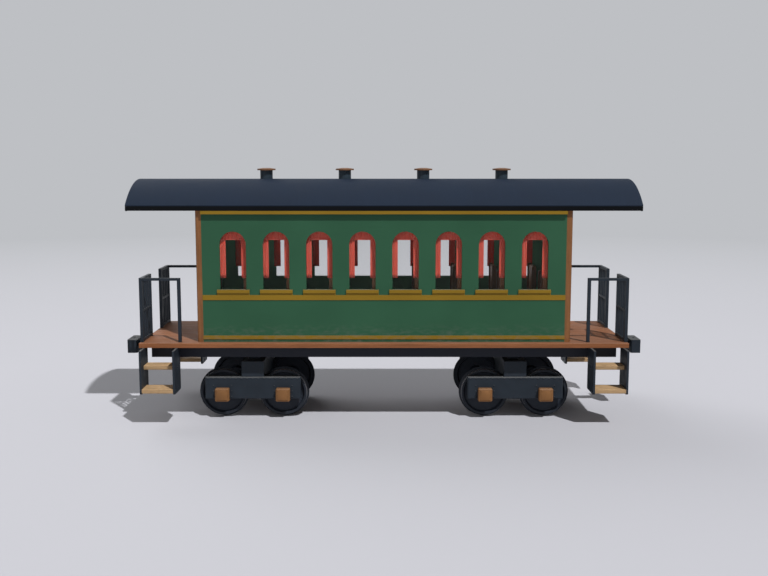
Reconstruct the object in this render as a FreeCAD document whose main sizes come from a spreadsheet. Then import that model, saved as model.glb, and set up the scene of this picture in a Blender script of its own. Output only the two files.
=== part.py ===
import FreeCAD, Part
import math
import os

import Sketcher

# An open-platform passenger coach on two four-wheel bogies, in millimetres. +X is the front end,
# +Y the left side, +Z up. The origin lies on the floor under the middle of the coach, and the
# wheel flanges stand on it.

doc = FreeCAD.newDocument("passenger_coach")
sheet = doc.addObject("Spreadsheet::Sheet", "Size")

# alias, millimetres (or a plain count) or what it follows from, meaning
SIZES = (
    ("seat_gap", 0.3, "between pieces that rest on each other"),
    ("deck_top", 1410, "top of the floor planks"),
    ("deck_thickness", 78, "floor planks"),
    ("deck_edge", 12, "rounding of the planks' outer edge"),
    ("window_count", 8, "windows on each side"),
    ("window_pitch", 750, "window centre to window centre"),
    ("window_width", 457, "clear width of a window"),
    ("end_bay", 639, "last window's centre to the end of the body"),
    ("body_length", "window_pitch * (window_count - 1) + 2 * end_bay", "over the corner posts"),
    ("body_width", 2140, "over the side walls"),
    ("body_height", 2300, "deck to the underside of the roof's edge"),
    ("wall_thickness", 60, "side walls and bulkheads"),
    ("corner_post", 100, "side of a square corner post"),
    ("corner_chamfer", 14, "flat on each corner post's edges"),
    ("platform_length", 1000, "deck beyond the body at each end"),
    ("deck_length", "body_length + 2 * platform_length", "over both platforms"),
    ("deck_ledge", 153, "deck beyond the side walls"),
    ("deck_width", "body_width + 2 * deck_ledge", "floor planks across"),
    ("frame_depth", 197, "height of the underframe"),
    ("frame_bottom", "deck_top - deck_thickness - frame_depth", "underside of the underframe"),
    ("headstock_back", 176, "headstock behind the deck's end"),
    ("frame_length", "deck_length - 2 * headstock_back", "over the headstocks"),
    ("frame_inset", 30, "side sills inside the side walls' faces"),
    ("frame_width", "body_width - 2 * frame_inset", "over the side sills"),
    ("frame_web", 90, "width of each sill"),
    ("centre_sill", 230, "outer face of a centre sill from the middle"),
    ("bearer_width", 110, "width of a cross bearer"),
    ("body_bolster", 420, "width of the solid bearer over each bogie"),
    ("sill_height", 926, "bottom of the windows above the deck"),
    ("window_sill", "deck_top + sill_height", "bottom of the windows"),
    ("window_side", 782, "straight side of a window"),
    ("window_spring", "window_sill + window_side", "height where the window arch begins"),
    ("glass_thickness", 6, "window panes"),
    ("glass_gap", 0.3, "pane to its opening"),
    ("moulding_proud", 10, "mouldings stand off the wall"),
    ("low_stripe_up", 49, "lowest moulding above the deck"),
    ("low_stripe_height", 66, "lowest moulding, bottom to top"),
    ("low_stripe_bottom", "deck_top + low_stripe_up", "lowest moulding"),
    ("low_stripe_top", "low_stripe_bottom + low_stripe_height", "lowest moulding"),
    ("sill_horn", 54.5, "window sill beyond the window at each side"),
    ("sill_width", "window_width + 2 * sill_horn", "window sill along the wall"),
    ("sill_depth", 58, "window sill, top to bottom"),
    ("sill_proud", 30, "window sill off the wall"),
    ("sill_fall", 4, "slope of the sill's top"),
    ("apron_height", 37, "board under the sill, top to bottom"),
    ("apron_proud", 8, "board under the sill, off the wall"),
    ("waist_height", 89, "waist moulding, bottom to top"),
    ("waist_top", "window_sill - sill_depth - apron_height", "waist moulding"),
    ("waist_bottom", "waist_top - waist_height", "waist moulding"),
    ("eave_overhang", 67, "roof beyond the side walls"),
    ("eave_depth", 98, "height of the roof's edge"),
    ("roof_rise", 432, "crown above the roof's edge"),
    ("roof_overhang", 188, "roof beyond the deck's end"),
    ("eave_bottom", "deck_top + body_height", "underside of the roof's edge"),
    ("eave_top", "eave_bottom + eave_depth", "top of the roof's edge"),
    ("roof_crown", "eave_top + roof_rise", "top of the roof"),
    ("roof_length", "deck_length + 2 * roof_overhang", "over both ends"),
    ("roof_width", "body_width + 2 * eave_overhang", "over the eaves"),
    ("roof_shell", 72, "roof with its ceiling, at the crown"),
    ("roof_skin", 18, "roof sheet that covers the edge boards"),
    ("edge_board", 30, "thickness of the boards round the roof's edge"),
    ("cornice_height", 60, "moulding under the eave, bottom to top"),
    ("cornice_back", 3, "moulding under the eave, behind the eave's face"),
    ("cornice_bottom", "eave_bottom - cornice_height", "moulding under the eave"),
    ("cornice_proud", "eave_overhang - cornice_back", "moulding under the eave, off the wall"),
    ("vent_count", 4, "ventilators along the crown"),
    ("vent_pitch", 1430, "ventilator to ventilator"),
    ("vent_radius", 113, "ventilator tube"),
    ("vent_wall", 8, "ventilator tube's wall"),
    ("vent_cap_ledge", 53, "ventilator cap beyond its tube"),
    ("vent_cap_radius", "vent_radius + vent_cap_ledge", "ventilator cap"),
    ("vent_cap_rim", 26, "depth of the cap's rim"),
    ("vent_height", 196, "ventilators above the crown"),
    ("vent_cap_top", "roof_crown + vent_height", "top of the ventilators"),
    ("vent_cap_thickness", 42, "whole cap"),
    ("rail_height", 1130, "top of the railings above the deck"),
    ("rail_inset", 148, "railing corner inside the deck's edge"),
    ("rail_line", "deck_width / 2 - rail_inset", "railing corner from the middle, across"),
    ("rail_gap", 800, "gangway between the railing's halves"),
    ("rail_post", 54, "railing posts and top rail, across"),
    ("rail_depth", 45, "height of the top rail"),
    ("mid_rail_top", 568, "top of the middle rail above the deck"),
    ("mid_rail_depth", 36, "height of the middle and the bottom rail"),
    ("bottom_rail_up", 60, "underside of the bottom rail above the deck"),
    ("baluster", 30, "side of a baluster"),
    ("baluster_count", 4, "balusters in each half"),
    ("side_post_out", 311, "side post's centre beyond the body"),
    ("side_post_place", "body_length / 2 + side_post_out", "side post's centre from the middle"),
    ("step_plate", 35, "thickness of a step's side plate"),
    ("step_end", 69, "step's outer face behind the deck's end"),
    ("step_start", 326, "step's inner face beyond the body"),
    ("step_reach", 317, "front of the step plates beyond the deck"),
    ("step_drop", 837, "deck to the bottom of the step plates"),
    ("step_outer", "deck_length / 2 - step_end", "step's outer face from the middle, lengthways"),
    ("step_inner", "body_length / 2 + step_start", "step's inner face from the middle, lengthways"),
    ("step_front", "deck_width / 2 + step_reach", "front of the step plates from the middle"),
    ("step_bottom", "deck_top - step_drop", "bottom of the step plates"),
    ("step_corner", 30, "rounding of the step plates' lower corners"),
    ("tread_thickness", 71, "step treads"),
    ("upper_tread_drop", 367, "deck to the top of the upper tread"),
    ("upper_tread_out", 133, "upper tread beyond the deck"),
    ("upper_tread_depth", 300, "upper tread, front to back"),
    ("lower_tread_up", 91, "top of the lower tread above its plates' bottom"),
    ("lower_tread_depth", 390, "lower tread, front to back"),
    ("upper_tread_top", "deck_top - upper_tread_drop", "upper tread"),
    ("upper_tread_front", "deck_width / 2 + upper_tread_out", "front of the upper tread from the middle"),
    ("lower_tread_top", "step_bottom + lower_tread_up", "lower tread"),
    ("tread_edge", 10, "rounding of the treads"),
    ("draw_reach", 464, "drawhead's face beyond the deck"),
    ("draw_end", "deck_length / 2 + draw_reach", "front of the drawhead from the middle"),
    ("draw_head_length", 181, "drawhead along the coach"),
    ("draw_head_width", 500, "drawhead across"),
    ("draw_head_drop", 116, "deck to the top of the drawhead"),
    ("draw_head_height", 241, "drawhead, bottom to top"),
    ("draw_head_top", "deck_top - draw_head_drop", "top of the drawhead"),
    ("draw_head_bottom", "draw_head_top - draw_head_height", "underside of the drawhead"),
    ("draw_slot", 76, "height of the link pocket"),
    ("draw_slot_width", 300, "width of the link pocket"),
    ("draw_slot_depth", 130, "depth of the link pocket"),
    ("draw_pin_radius", 24, "hole for the coupling pin"),
    ("draw_pin_back", 78, "pin hole behind the drawhead's face"),
    ("shank_width", 160, "drawbar across"),
    ("shank_height", 122, "drawbar, bottom to top"),
    ("shank_up", 5, "drawbar above the underside of the underframe"),
    ("shank_bottom", "frame_bottom + shank_up", "underside of the drawbar"),
    ("shank_top", "shank_bottom + shank_height", "top of the drawbar"),
    ("doorway_width", 716, "clear width between the bulkhead's jambs"),
    ("doorway_height", 1960, "clear height above the deck"),
    ("door_gap", 8, "door to its jambs, lintel and deck"),
    ("door_thickness", 40, "door leaf"),
    ("door_rail", 110, "stiles and rails of the door"),
    ("door_panel_top", 830, "top of the door's lower panel above the deck"),
    ("door_panel_sink", 12, "depth of the door's panels"),
    ("architrave", 70, "width of the frame round the doorway"),
    ("architrave_thickness", 14, "strips on the bulkhead's face"),
    ("hinge_radius", 15, "outside of a hinge's knuckle"),
    ("hinge_pin", 6, "radius of a hinge's pin"),
    ("hinge_play", 0.05, "pin to knuckle"),
    ("hinge_length", 80, "knuckle"),
    ("hinge_lug", 22, "length of each fixed lug"),
    ("hinge_end_play", 0.5, "knuckle to lug"),
    ("hinge_out", 35, "pin's centre in front of the bulkhead"),
    ("bogie_inset", 1931, "bogie's centre from the end of the deck"),
    ("bogie_place", "deck_length / 2 - bogie_inset", "bogie centre from the middle"),
    ("flange_radius", 447, "wheel flange"),
    ("flange_height", 35, "flange above the tread"),
    ("tread_radius", "flange_radius - flange_height", "wheel tread, at the flange"),
    ("tread_taper", 5, "fall of the tread's radius to its outer face"),
    ("wheel_gap", 183, "flange to flange in a bogie"),
    ("wheelbase", "2 * flange_radius + wheel_gap", "axle to axle in a bogie"),
    ("wheel_back", 680, "wheel's inner face from the middle"),
    ("wheel_width", 135, "wheel across"),
    ("wheel_front", "wheel_back + wheel_width", "wheel's outer face from the middle"),
    ("flange_thickness", 32, "wheel flange"),
    ("rim_depth", 44, "rim below the tread"),
    ("web_thickness", 26, "wheel web"),
    ("journal_radius", 55, "axle's end in its box"),
    ("journal_play", 0.05, "journal to its bore"),
    ("journal_step", 15, "axle larger than its journal"),
    ("seat_step", 14, "axle's wheel seat larger than the axle"),
    ("hub_wall", 56, "hub round the wheel seat"),
    ("axle_radius", "journal_radius + journal_step", "axle between the wheels"),
    ("seat_radius", "axle_radius + seat_step", "axle's wheel seat"),
    ("hub_radius", "seat_radius + hub_wall", "wheel hub"),
    ("side_frame_clear", 15, "side frame to the wheels"),
    ("side_frame_thickness", 120, "side frame across"),
    ("side_frame_back", "wheel_front + side_frame_clear", "side frame's inner face from the middle"),
    ("side_frame_front", "side_frame_back + side_frame_thickness", "side frame's outer face from the middle"),
    ("side_frame_end", 310.5, "side frame beyond each axle"),
    ("side_frame_length", "wheelbase + 2 * side_frame_end", "side frame end to end"),
    ("side_frame_drop", 91, "axle to the underside of the side frame"),
    ("side_frame_height", 401, "side frame, bottom to top"),
    ("side_frame_bevel", 18, "flat round the side frame's outer face"),
    ("side_frame_bottom", "flange_radius - side_frame_drop", "underside of the side frame"),
    ("side_frame_top", "side_frame_bottom + side_frame_height", "top of the side frame"),
    ("axle_box_width", 250, "axle box along the bogie"),
    ("axle_box_drop", 121, "axle to the underside of its box"),
    ("axle_box_height", 236, "axle box, bottom to top"),
    ("axle_box_bevel", 18, "flat on the axle boxes' edges"),
    ("axle_box_bottom", "flange_radius - axle_box_drop", "underside of the axle boxes"),
    ("axle_box_top", "axle_box_bottom + axle_box_height", "top of the axle boxes"),
    ("axle_box_proud", 100, "axle boxes in front of the side frame"),
    ("axle_box_sunk", 10, "axle boxes' backs in front of the side frame's back"),
    ("journal_short", 50, "journal's end behind the axle box's front"),
    ("axle_box_front", "side_frame_front + axle_box_proud", "front of the axle boxes from the middle"),
    ("axle_box_back", "side_frame_back + axle_box_sunk", "back of the axle boxes from the middle"),
    ("journal_end", "axle_box_front - journal_short", "end of the axle from the middle"),
    ("bolster_width", 394, "bolster along the bogie"),
    ("bolster_short", 20, "bolster's end behind the side frame's face"),
    ("bolster_end", "side_frame_front - bolster_short", "end of the bolster from the middle"),
    ("centre_drop", 55, "underframe to where the centre plates meet"),
    ("centre_plate_meet", "frame_bottom - centre_drop", "where the two centre plates meet"),
    ("centre_plate_height", 50, "lower centre plate"),
    ("bolster_top", "centre_plate_meet - centre_plate_height", "top of the bolster"),
    ("belly_drop", 157, "bolster's middle below the side frame's top"),
    ("bolster_belly", "side_frame_top - belly_drop", "underside of the bolster's middle"),
    ("belly_half", 600, "half of the belly's width at its bottom"),
    ("transom_width", 150, "lower cross tie along the bogie"),
    ("transom_height", 180, "lower cross tie with its gap, bottom to top"),
    ("transom_bottom", "bolster_belly - transom_height", "underside of the lower cross tie"),
    ("centre_plate_radius", 180, "bogie's centre plates"),
    ("kingpin_radius", 38, "bogie's kingpin"),
    ("kingpin_play", 0.05, "kingpin to its bore"),
    ("kingpin_short", 40, "kingpin's end above the bolster's underside"),
    ("kingpin_bottom", "bolster_belly + kingpin_short", "bottom of the kingpin"),
    ("side_bearer_place", 600, "side bearers from the middle"),
    ("side_bearer_gap", 12, "side bearers to the underframe"),
    ("side_bearer_top", "frame_bottom - side_bearer_gap", "top of the side bearers"),
    ("rail_side", 16, "curtain rail's square section"),
    ("rail_bracket", 30, "curtain rail's bracket along the wall"),
    ("rail_above", 39.5, "curtain rail above the window's arch"),
    ("rail_drop", "window_spring + window_width / 2 + rail_above", "underside of the curtain rails"),
    ("curtain_off", 6, "valance to the wall's inner face"),
    ("curtain_thickness", 16, "each layer of cloth"),
    ("curtain_width", 126, "side curtain across"),
    ("curtain_lap", 33.5, "side curtain beyond the window"),
    ("valance_up", 78, "bottom edge of the valances above the arch's spring"),
    ("curtain_up", 194, "bottom edge of the side curtains above the window's bottom"),
    ("valance_bottom", "window_spring + valance_up", "bottom edge of the valances"),
    ("curtain_bottom", "window_sill + curtain_up", "bottom edge of the side curtains"),
    ("curtain_outer", "window_width / 2 + curtain_lap", "side curtain's outer edge from the window's middle"),
    ("curtain_inner", "curtain_outer - curtain_width", "side curtain's inner edge from the window's middle"),
    ("bench_wall_gap", 50, "bench to the side wall"),
    ("bench_length", 580, "bench across the coach"),
    ("bench_outer", "body_width / 2 - wall_thickness - bench_wall_gap", "bench's wall end from the middle"),
    ("bench_inner", "bench_outer - bench_length", "bench's aisle end from the middle"),
    ("bench_back", 252, "bench back's rear face past the window's middle"),
    ("bench_board", 28, "boards of the bench"),
    ("bench_end", 34, "thickness of a bench's end panel"),
    ("bench_seat_height", 370, "top of the seat board above the deck"),
    ("bench_seat_depth", 430, "seat board, front to back"),
    ("bench_arm_height", 620, "top of the arms above the deck"),
    ("bench_height", 1195, "top of the bench's back above the deck"),
    ("bench_back_width", 88, "end panel's upper part, along the coach"),
    ("bench_round", 26, "rounding of the end panel's top"),
    ("cushion_thickness", 95, "seat cushion"),
    ("back_pad_thickness", 58, "back cushion"),
)

for row, (alias, value, meaning) in enumerate(SIZES, start=1):
    sheet.set(f"A{row}", meaning)
    sheet.set(f"B{row}", f"={value}")
    sheet.setAlias(f"B{row}", alias)
doc.recompute()

nodes = []

# Lengths that follow from the sheet, as expressions.
HALF_BODY = "Size.body_width / 2"
WALL_INSIDE = "(Size.body_width / 2 - Size.wall_thickness)"
ROOF_RISE = "(Size.roof_crown - Size.eave_top)"
ROOF_RADIUS = f"(((Size.roof_width / 2) ^ 2 + {ROOF_RISE} ^ 2) / (2 * {ROOF_RISE}))"
ROOF_CENTRE = f"(Size.roof_crown - {ROOF_RADIUS})"
CEILING_CROWN = "(Size.roof_crown - Size.roof_shell)"
CEILING_RISE = f"({CEILING_CROWN} - Size.eave_bottom)"
CEILING_RADIUS = f"(({WALL_INSIDE} ^ 2 + {CEILING_RISE} ^ 2) / (2 * {CEILING_RISE}))"
CEILING_CENTRE = f"({CEILING_CROWN} - {CEILING_RADIUS})"
FIRST_WINDOW = "(-Size.window_pitch * (Size.window_count - 1) / 2)"
WINDOW_RUN = "Size.window_pitch * (Size.window_count - 1)"
END_WALL = "(Size.body_length / 2)"
DECK_BOTTOM = "(Size.deck_top - Size.deck_thickness)"
RAIL_TOP = "(Size.deck_top + Size.rail_height)"


def size(expression):
    """The value of an expression in the sheet's names."""
    return float(sheet.evalExpression(expression))


def origin_part(body, role):
    """One of a body's own origin planes or axes."""
    return next(part for part in body.Origin.OriginFeatures if part.Role == role)


def new_body(label, end=1):
    """An empty body for one node. The rear end's bodies are the front's, turned half round."""
    body = doc.addObject("PartDesign::Body", label)
    body.Label = label
    if end < 0:
        body.Placement.Rotation = FreeCAD.Rotation(FreeCAD.Vector(0, 0, 1), 180)
    nodes.append(body)
    return body


def new_sketch(body, role, away="0"):
    """A sketch on an origin plane of the body, moved off it along the plane's normal."""
    sketch = body.newObject("Sketcher::SketchObject", "outline")
    sketch.AttachmentSupport = [(origin_part(body, role), "")]
    sketch.MapMode = "FlatFace"
    sketch.setExpression("AttachmentOffset.Base.z", away)
    return sketch


def hold(sketch, kind, geometry, point, expression):
    """Ties a point's distance from the sketch's origin to an expression."""
    index = sketch.addConstraint(Sketcher.Constraint(kind, -1, 1, geometry, point, size(expression)))
    sketch.setExpression(f"Constraints[{index}]", expression)


def outline(sketch, corners):
    """A closed outline through corners of (across, up) expressions.

    A third value makes the edge to the next corner an arc that bulges upwards, and gives the
    height of its centre, which lies midway between the two corners.
    """
    places = [(size(corner[0]), size(corner[1])) for corner in corners]
    edges = []
    for index, corner in enumerate(corners):
        here, there = places[index], places[(index + 1) % len(places)]
        if len(corner) == 3:
            middle, level = (here[0] + there[0]) / 2, size(corner[2])
            first, last = (here, there) if here[0] > there[0] else (there, here)
            round_edge = Part.Circle(
                FreeCAD.Vector(middle, level, 0),
                FreeCAD.Vector(0, 0, 1),
                math.hypot(here[0] - middle, here[1] - level),
            )
            turns = [math.atan2(place[1] - level, place[0] - middle) for place in (first, last)]
            edge = sketch.addGeometry(Part.ArcOfCircle(round_edge, *turns), False)
            hold(sketch, "DistanceY", edge, 3, corner[2])
            edges.append((edge, 1, 2) if here[0] > there[0] else (edge, 2, 1))
        else:
            line = Part.LineSegment(FreeCAD.Vector(*here, 0), FreeCAD.Vector(*there, 0))
            edges.append((sketch.addGeometry(line, False), 1, 2))
    for index, corner in enumerate(corners):
        edge, start, _ = edges[index]
        before, _, end = edges[index - 1]
        sketch.addConstraint(Sketcher.Constraint("Coincident", before, end, edge, start))
        hold(sketch, "DistanceX", edge, start, corner[0])
        hold(sketch, "DistanceY", edge, start, corner[1])


def rectangle(sketch, left, right, low, high):
    """A closed rectangle between four expressions."""
    outline(sketch, ((left, low), (right, low), (right, high), (left, high)))


def circle(sketch, across, up, radius):
    """A circle with its centre and radius tied to expressions."""
    centre = FreeCAD.Vector(size(across), size(up), 0)
    ring = sketch.addGeometry(Part.Circle(centre, FreeCAD.Vector(0, 0, 1), size(radius)), False)
    hold(sketch, "DistanceX", ring, 3, across)
    hold(sketch, "DistanceY", ring, 3, up)
    index = sketch.addConstraint(Sketcher.Constraint("Radius", ring, size(radius)))
    sketch.setExpression(f"Constraints[{index}]", radius)


def pad(body, sketch, length, both_ways=False, backwards=False):
    """Extrudes a sketch along its plane's normal, or half each way."""
    feature = body.newObject("PartDesign::Pad", "pad")
    feature.Profile = sketch
    feature.Midplane = both_ways
    feature.Reversed = backwards
    feature.setExpression("Length", length)
    return feature


def pocket(body, sketch, depth=None, backwards=False):
    """Cuts a sketch to a depth against its plane's normal, or right through both ways."""
    feature = body.newObject("PartDesign::Pocket", "pocket")
    feature.Profile = sketch
    if depth is None:
        feature.Type = "ThroughAll"
        feature.Midplane = True
    else:
        feature.Reversed = backwards
        feature.setExpression("Length", depth)
    return feature


def revolve(body, sketch, axis):
    """Turns a sketch a full circle about one of the body's axes."""
    feature = body.newObject("PartDesign::Revolution", "revolution")
    feature.Profile = sketch
    feature.ReferenceAxis = (origin_part(body, axis), [""])
    feature.Angle = 360
    return feature


def edges_along(shape, axis):
    """Names of a shape's straight edges that run along an axis vector, or of them all."""
    names = []
    for index, edge in enumerate(shape.Edges, start=1):
        if not isinstance(edge.Curve, Part.Line):
            continue
        if axis is None or abs(edge.tangentAt(edge.FirstParameter) * axis) > 0.99:
            names.append(f"Edge{index}")
    return names


def soften(body, kind, axis, width, keep=lambda edge: True):
    """Fillets or chamfers the tip's straight edges that pass a test, along an axis or all ways."""
    doc.recompute()
    base = body.Tip
    names = [name for name in edges_along(base.Shape, axis) if keep(base.Shape.getElement(name))]
    feature = body.newObject(f"PartDesign::{kind}", kind.lower())
    feature.Base = (base, names)
    feature.setExpression("Radius" if kind == "Fillet" else "Size", width)
    return feature


def row_of(body, axis, length, count, features=None):
    """Repeats features, or all that the body holds so far, along one of its axes."""
    doc.recompute()
    feature = body.newObject("PartDesign::LinearPattern", "row")
    if features is None:
        feature.TransformMode = "Whole shape"
    else:
        feature.Originals = features
    feature.Direction = (origin_part(body, axis), [""])
    feature.setExpression("Length", length)
    feature.setExpression("Occurrences", count)
    body.Tip = feature
    return feature


def mirrored(body, role):
    """Adds the mirror image of all that the body holds so far."""
    doc.recompute()
    feature = body.newObject("PartDesign::Mirrored", "mirrored")
    feature.TransformMode = "Whole shape"
    feature.MirrorPlane = (origin_part(body, role), [""])
    body.Tip = feature
    return feature


ALONG_X = FreeCAD.Vector(1, 0, 0)
ALONG_Y = FreeCAD.Vector(0, 1, 0)
ALONG_Z = FreeCAD.Vector(0, 0, 1)


# ---- underframe, deck and steps ----

def underframe():
    """Four sills between two headstocks, cross bearers, and the centre plates with their kingpins.

    One quarter is drawn and mirrored. Each timber is a solid of its own, a seat gap from its neighbours.
    """
    body = new_body("underframe")
    half_long, half_wide, gap = "(Size.frame_length / 2)", "(Size.frame_width / 2)", "Size.seat_gap"
    headstock = f"({half_long} - Size.bearer_width)"
    plan = new_sketch(body, "XY_Plane", "Size.frame_bottom")
    rectangle(plan, headstock, half_long, "0", half_wide)
    for outer in ("Size.centre_sill", half_wide):
        rectangle(plan, "0", f"{headstock} - {gap}", f"{outer} - Size.frame_web", outer)
    # near and far face of each cross bearer from the middle of the coach
    bearers = (
        ("0", "Size.bearer_width / 2"),
        ("(Size.bogie_place - Size.bearer_width) / 2", "(Size.bogie_place + Size.bearer_width) / 2"),
        ("Size.bogie_place - Size.body_bolster / 2", "Size.bogie_place + Size.body_bolster / 2"),
        ("Size.step_inner - Size.bearer_width", "Size.step_inner"),
    )
    for near, far in bearers:
        rectangle(plan, near, far, "0", f"Size.centre_sill - Size.frame_web - {gap}")
        rectangle(plan, near, far, f"Size.centre_sill + {gap}", f"{half_wide} - Size.frame_web - {gap}")
    pad(body, plan, f"{DECK_BOTTOM} - Size.frame_bottom")
    mirrored(body, "XZ_Plane")
    plate = new_sketch(body, "XY_Plane", f"Size.frame_bottom - {gap}")
    circle(plate, "Size.bogie_place", "0", "Size.centre_plate_radius")
    pad(body, plate, f"Size.frame_bottom - Size.centre_plate_meet - 2 * {gap}", backwards=True)
    pin = new_sketch(body, "XY_Plane", f"Size.frame_bottom - {gap}")
    circle(pin, "Size.bogie_place", "0", "Size.kingpin_radius")
    pad(body, pin, f"Size.frame_bottom - {gap} - Size.kingpin_bottom", backwards=True)
    mirrored(body, "YZ_Plane")


def deck():
    """The plank floor, which runs on past the body as the end platforms."""
    body = new_body("deck")
    plan = new_sketch(body, "XY_Plane", DECK_BOTTOM)
    rectangle(plan, "-Size.deck_length / 2", "Size.deck_length / 2",
              "-Size.deck_width / 2", "Size.deck_width / 2")
    pad(body, plan, "Size.deck_thickness")
    soften(body, "Fillet", ALONG_X, "Size.deck_edge",
           lambda edge: edge.CenterOfMass.z > size("Size.deck_top") - 1)


def step_plates():
    """Two side plates under each corner of the deck."""
    body = new_body("step_plates")
    side = new_sketch(body, "YZ_Plane", "Size.step_inner")
    rectangle(side, "Size.frame_width / 2", "Size.step_front", "Size.step_bottom", DECK_BOTTOM)
    pad(body, side, "Size.step_plate")
    soften(body, "Fillet", ALONG_X, "Size.step_corner",
           lambda edge: edge.CenterOfMass.z < size("Size.step_bottom") + 1)
    row_of(body, "X_Axis", "Size.step_outer - Size.step_inner - Size.step_plate", "2")
    mirrored(body, "XZ_Plane")
    mirrored(body, "YZ_Plane")


def step_treads():
    """Two planks between each pair of side plates, the lower one further out."""
    body = new_body("step_treads")
    # front of the tread, its depth, its top
    treads = (
        ("Size.upper_tread_front", "Size.upper_tread_depth", "Size.upper_tread_top"),
        ("Size.step_front", "Size.lower_tread_depth", "Size.lower_tread_top"),
    )
    for front, depth, top in treads:
        side = new_sketch(body, "YZ_Plane", "Size.step_inner + Size.step_plate")
        rectangle(side, f"{front} - {depth}", front, f"{top} - Size.tread_thickness", top)
        pad(body, side, "Size.step_outer - Size.step_inner - 2 * Size.step_plate")
    soften(body, "Fillet", ALONG_X, "Size.tread_edge")
    mirrored(body, "XZ_Plane")
    mirrored(body, "YZ_Plane")


def coupler(label, end):
    """A drawhead with a link pocket and an upright pin hole, on a plain drawbar."""
    body = new_body(label, end)
    head = new_sketch(body, "XY_Plane", "Size.draw_head_bottom")
    back = "Size.draw_end - Size.draw_head_length"
    rectangle(head, back, "Size.draw_end", "-Size.draw_head_width / 2", "Size.draw_head_width / 2")
    pad(body, head, "Size.draw_head_top - Size.draw_head_bottom")
    soften(body, "Fillet", ALONG_Z, "Size.step_corner")
    bar = new_sketch(body, "XY_Plane", "Size.shank_bottom")
    rectangle(bar, "Size.frame_length / 2", back, "-Size.shank_width / 2", "Size.shank_width / 2")
    pad(body, bar, "Size.shank_top - Size.shank_bottom")
    slot = new_sketch(body, "XY_Plane", "(Size.draw_head_bottom + Size.draw_head_top - Size.draw_slot) / 2")
    wide = "Size.draw_slot_width / 2"
    rectangle(slot, "Size.draw_end - Size.draw_slot_depth", "Size.draw_end + Size.draw_slot",
              f"-{wide}", wide)
    pocket(body, slot, "Size.draw_slot", backwards=True)
    hole = new_sketch(body, "XY_Plane", "Size.draw_head_top")
    circle(hole, "Size.draw_end - Size.draw_pin_back", "0", "Size.draw_pin_radius")
    pocket(body, hole)


# ---- body ----

def window_outline(sketch, gap="0"):
    """The first window's arched outline, drawn in by a gap all round."""
    left = f"{FIRST_WINDOW} - Size.window_width / 2 + {gap}"
    right = f"{FIRST_WINDOW} + Size.window_width / 2 - {gap}"
    low, spring = f"Size.window_sill + {gap}", "Size.window_spring"
    outline(sketch, ((left, low), (right, low), (right, spring, spring), (left, spring)))


def side_wall(label, side):
    """One side wall between the corner posts, with its row of arched windows."""
    body = new_body(label)
    away = WALL_INSIDE if side < 0 else f"-{HALF_BODY}"
    face = new_sketch(body, "XZ_Plane", away)
    reach = "(Size.body_length / 2 - Size.corner_post)"
    rectangle(face, f"-{reach}", reach, "Size.deck_top", "Size.eave_bottom")
    pad(body, face, "Size.wall_thickness")
    window = new_sketch(body, "XZ_Plane", away)
    window_outline(window)
    opening = pocket(body, window)
    row_of(body, "X_Axis", WINDOW_RUN, "Size.window_count", [opening])


def bulkhead(label, end):
    """An end wall under the ceiling's curve: a panel each side of the doorway and one over it."""
    body = new_body(label, end)
    face = new_sketch(body, "YZ_Plane", f"{END_WALL} - Size.wall_thickness")
    reach = "(Size.body_width / 2 - Size.corner_post)"
    radius = f"({CEILING_RADIUS} - Size.seat_gap)"
    shoulder = f"{CEILING_CENTRE} + sqrt({radius} ^ 2 - {reach} ^ 2)"
    jamb, lintel = "Size.doorway_width / 2", "Size.deck_top + Size.doorway_height"
    for near, far in ((jamb, reach), (f"-{reach}", f"-{jamb}")):
        rectangle(face, near, far, "Size.deck_top", f"{lintel} - Size.seat_gap")
    outline(face, (
        (f"-{reach}", lintel),
        (reach, lintel),
        (reach, shoulder, CEILING_CENTRE),
        (f"-{reach}", shoulder),
    ))
    pad(body, face, "Size.wall_thickness")


def corner_posts():
    """Square posts that close the corners between the walls and the bulkheads."""
    body = new_body("corner_posts")
    plan = new_sketch(body, "XY_Plane", "Size.deck_top")
    far, wide = "Size.body_length / 2", HALF_BODY
    rectangle(plan, f"{far} - Size.corner_post", far, f"{wide} - Size.corner_post", wide)
    pad(body, plan, "Size.eave_bottom - Size.deck_top")
    soften(body, "Chamfer", ALONG_Z, "Size.corner_chamfer",
           lambda edge: edge.CenterOfMass.x > size(far) - 1 and edge.CenterOfMass.y > size(wide) - 1)
    mirrored(body, "XZ_Plane")
    mirrored(body, "YZ_Plane")


def mouldings():
    """Two flat mouldings along each side wall, and a deep one that fills the corner under the eave."""
    body = new_body("mouldings")
    reach = "(Size.body_length / 2 - Size.corner_post)"
    # how far off the wall, bottom, top
    bands = (
        ("Size.moulding_proud", "Size.low_stripe_bottom", "Size.low_stripe_top"),
        ("Size.moulding_proud", "Size.waist_bottom", "Size.waist_top"),
        ("Size.cornice_proud", "Size.cornice_bottom", "Size.eave_bottom"),
    )
    for proud, low, high in bands:
        face = new_sketch(body, "XZ_Plane", f"-{HALF_BODY} - {proud}")
        rectangle(face, f"-{reach}", reach, low, high)
        pad(body, face, proud)
    mirrored(body, "XZ_Plane")


def window_sills():
    """A sloped sill under each window, over an apron that stands on the waist moulding."""
    body = new_body("window_sills")
    side = new_sketch(body, "YZ_Plane", FIRST_WINDOW)
    inner, outer, apron = HALF_BODY, f"{HALF_BODY} + Size.sill_proud", f"{HALF_BODY} + Size.apron_proud"
    outline(side, (
        (inner, "Size.waist_top"),
        (apron, "Size.waist_top"),
        (apron, "Size.window_sill - Size.sill_depth"),
        (outer, "Size.window_sill - Size.sill_depth"),
        (outer, "Size.window_sill - Size.sill_fall"),
        (inner, "Size.window_sill"),
    ))
    pad(body, side, "Size.sill_width", both_ways=True)
    row_of(body, "X_Axis", WINDOW_RUN, "Size.window_count")
    mirrored(body, "XZ_Plane")


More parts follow.
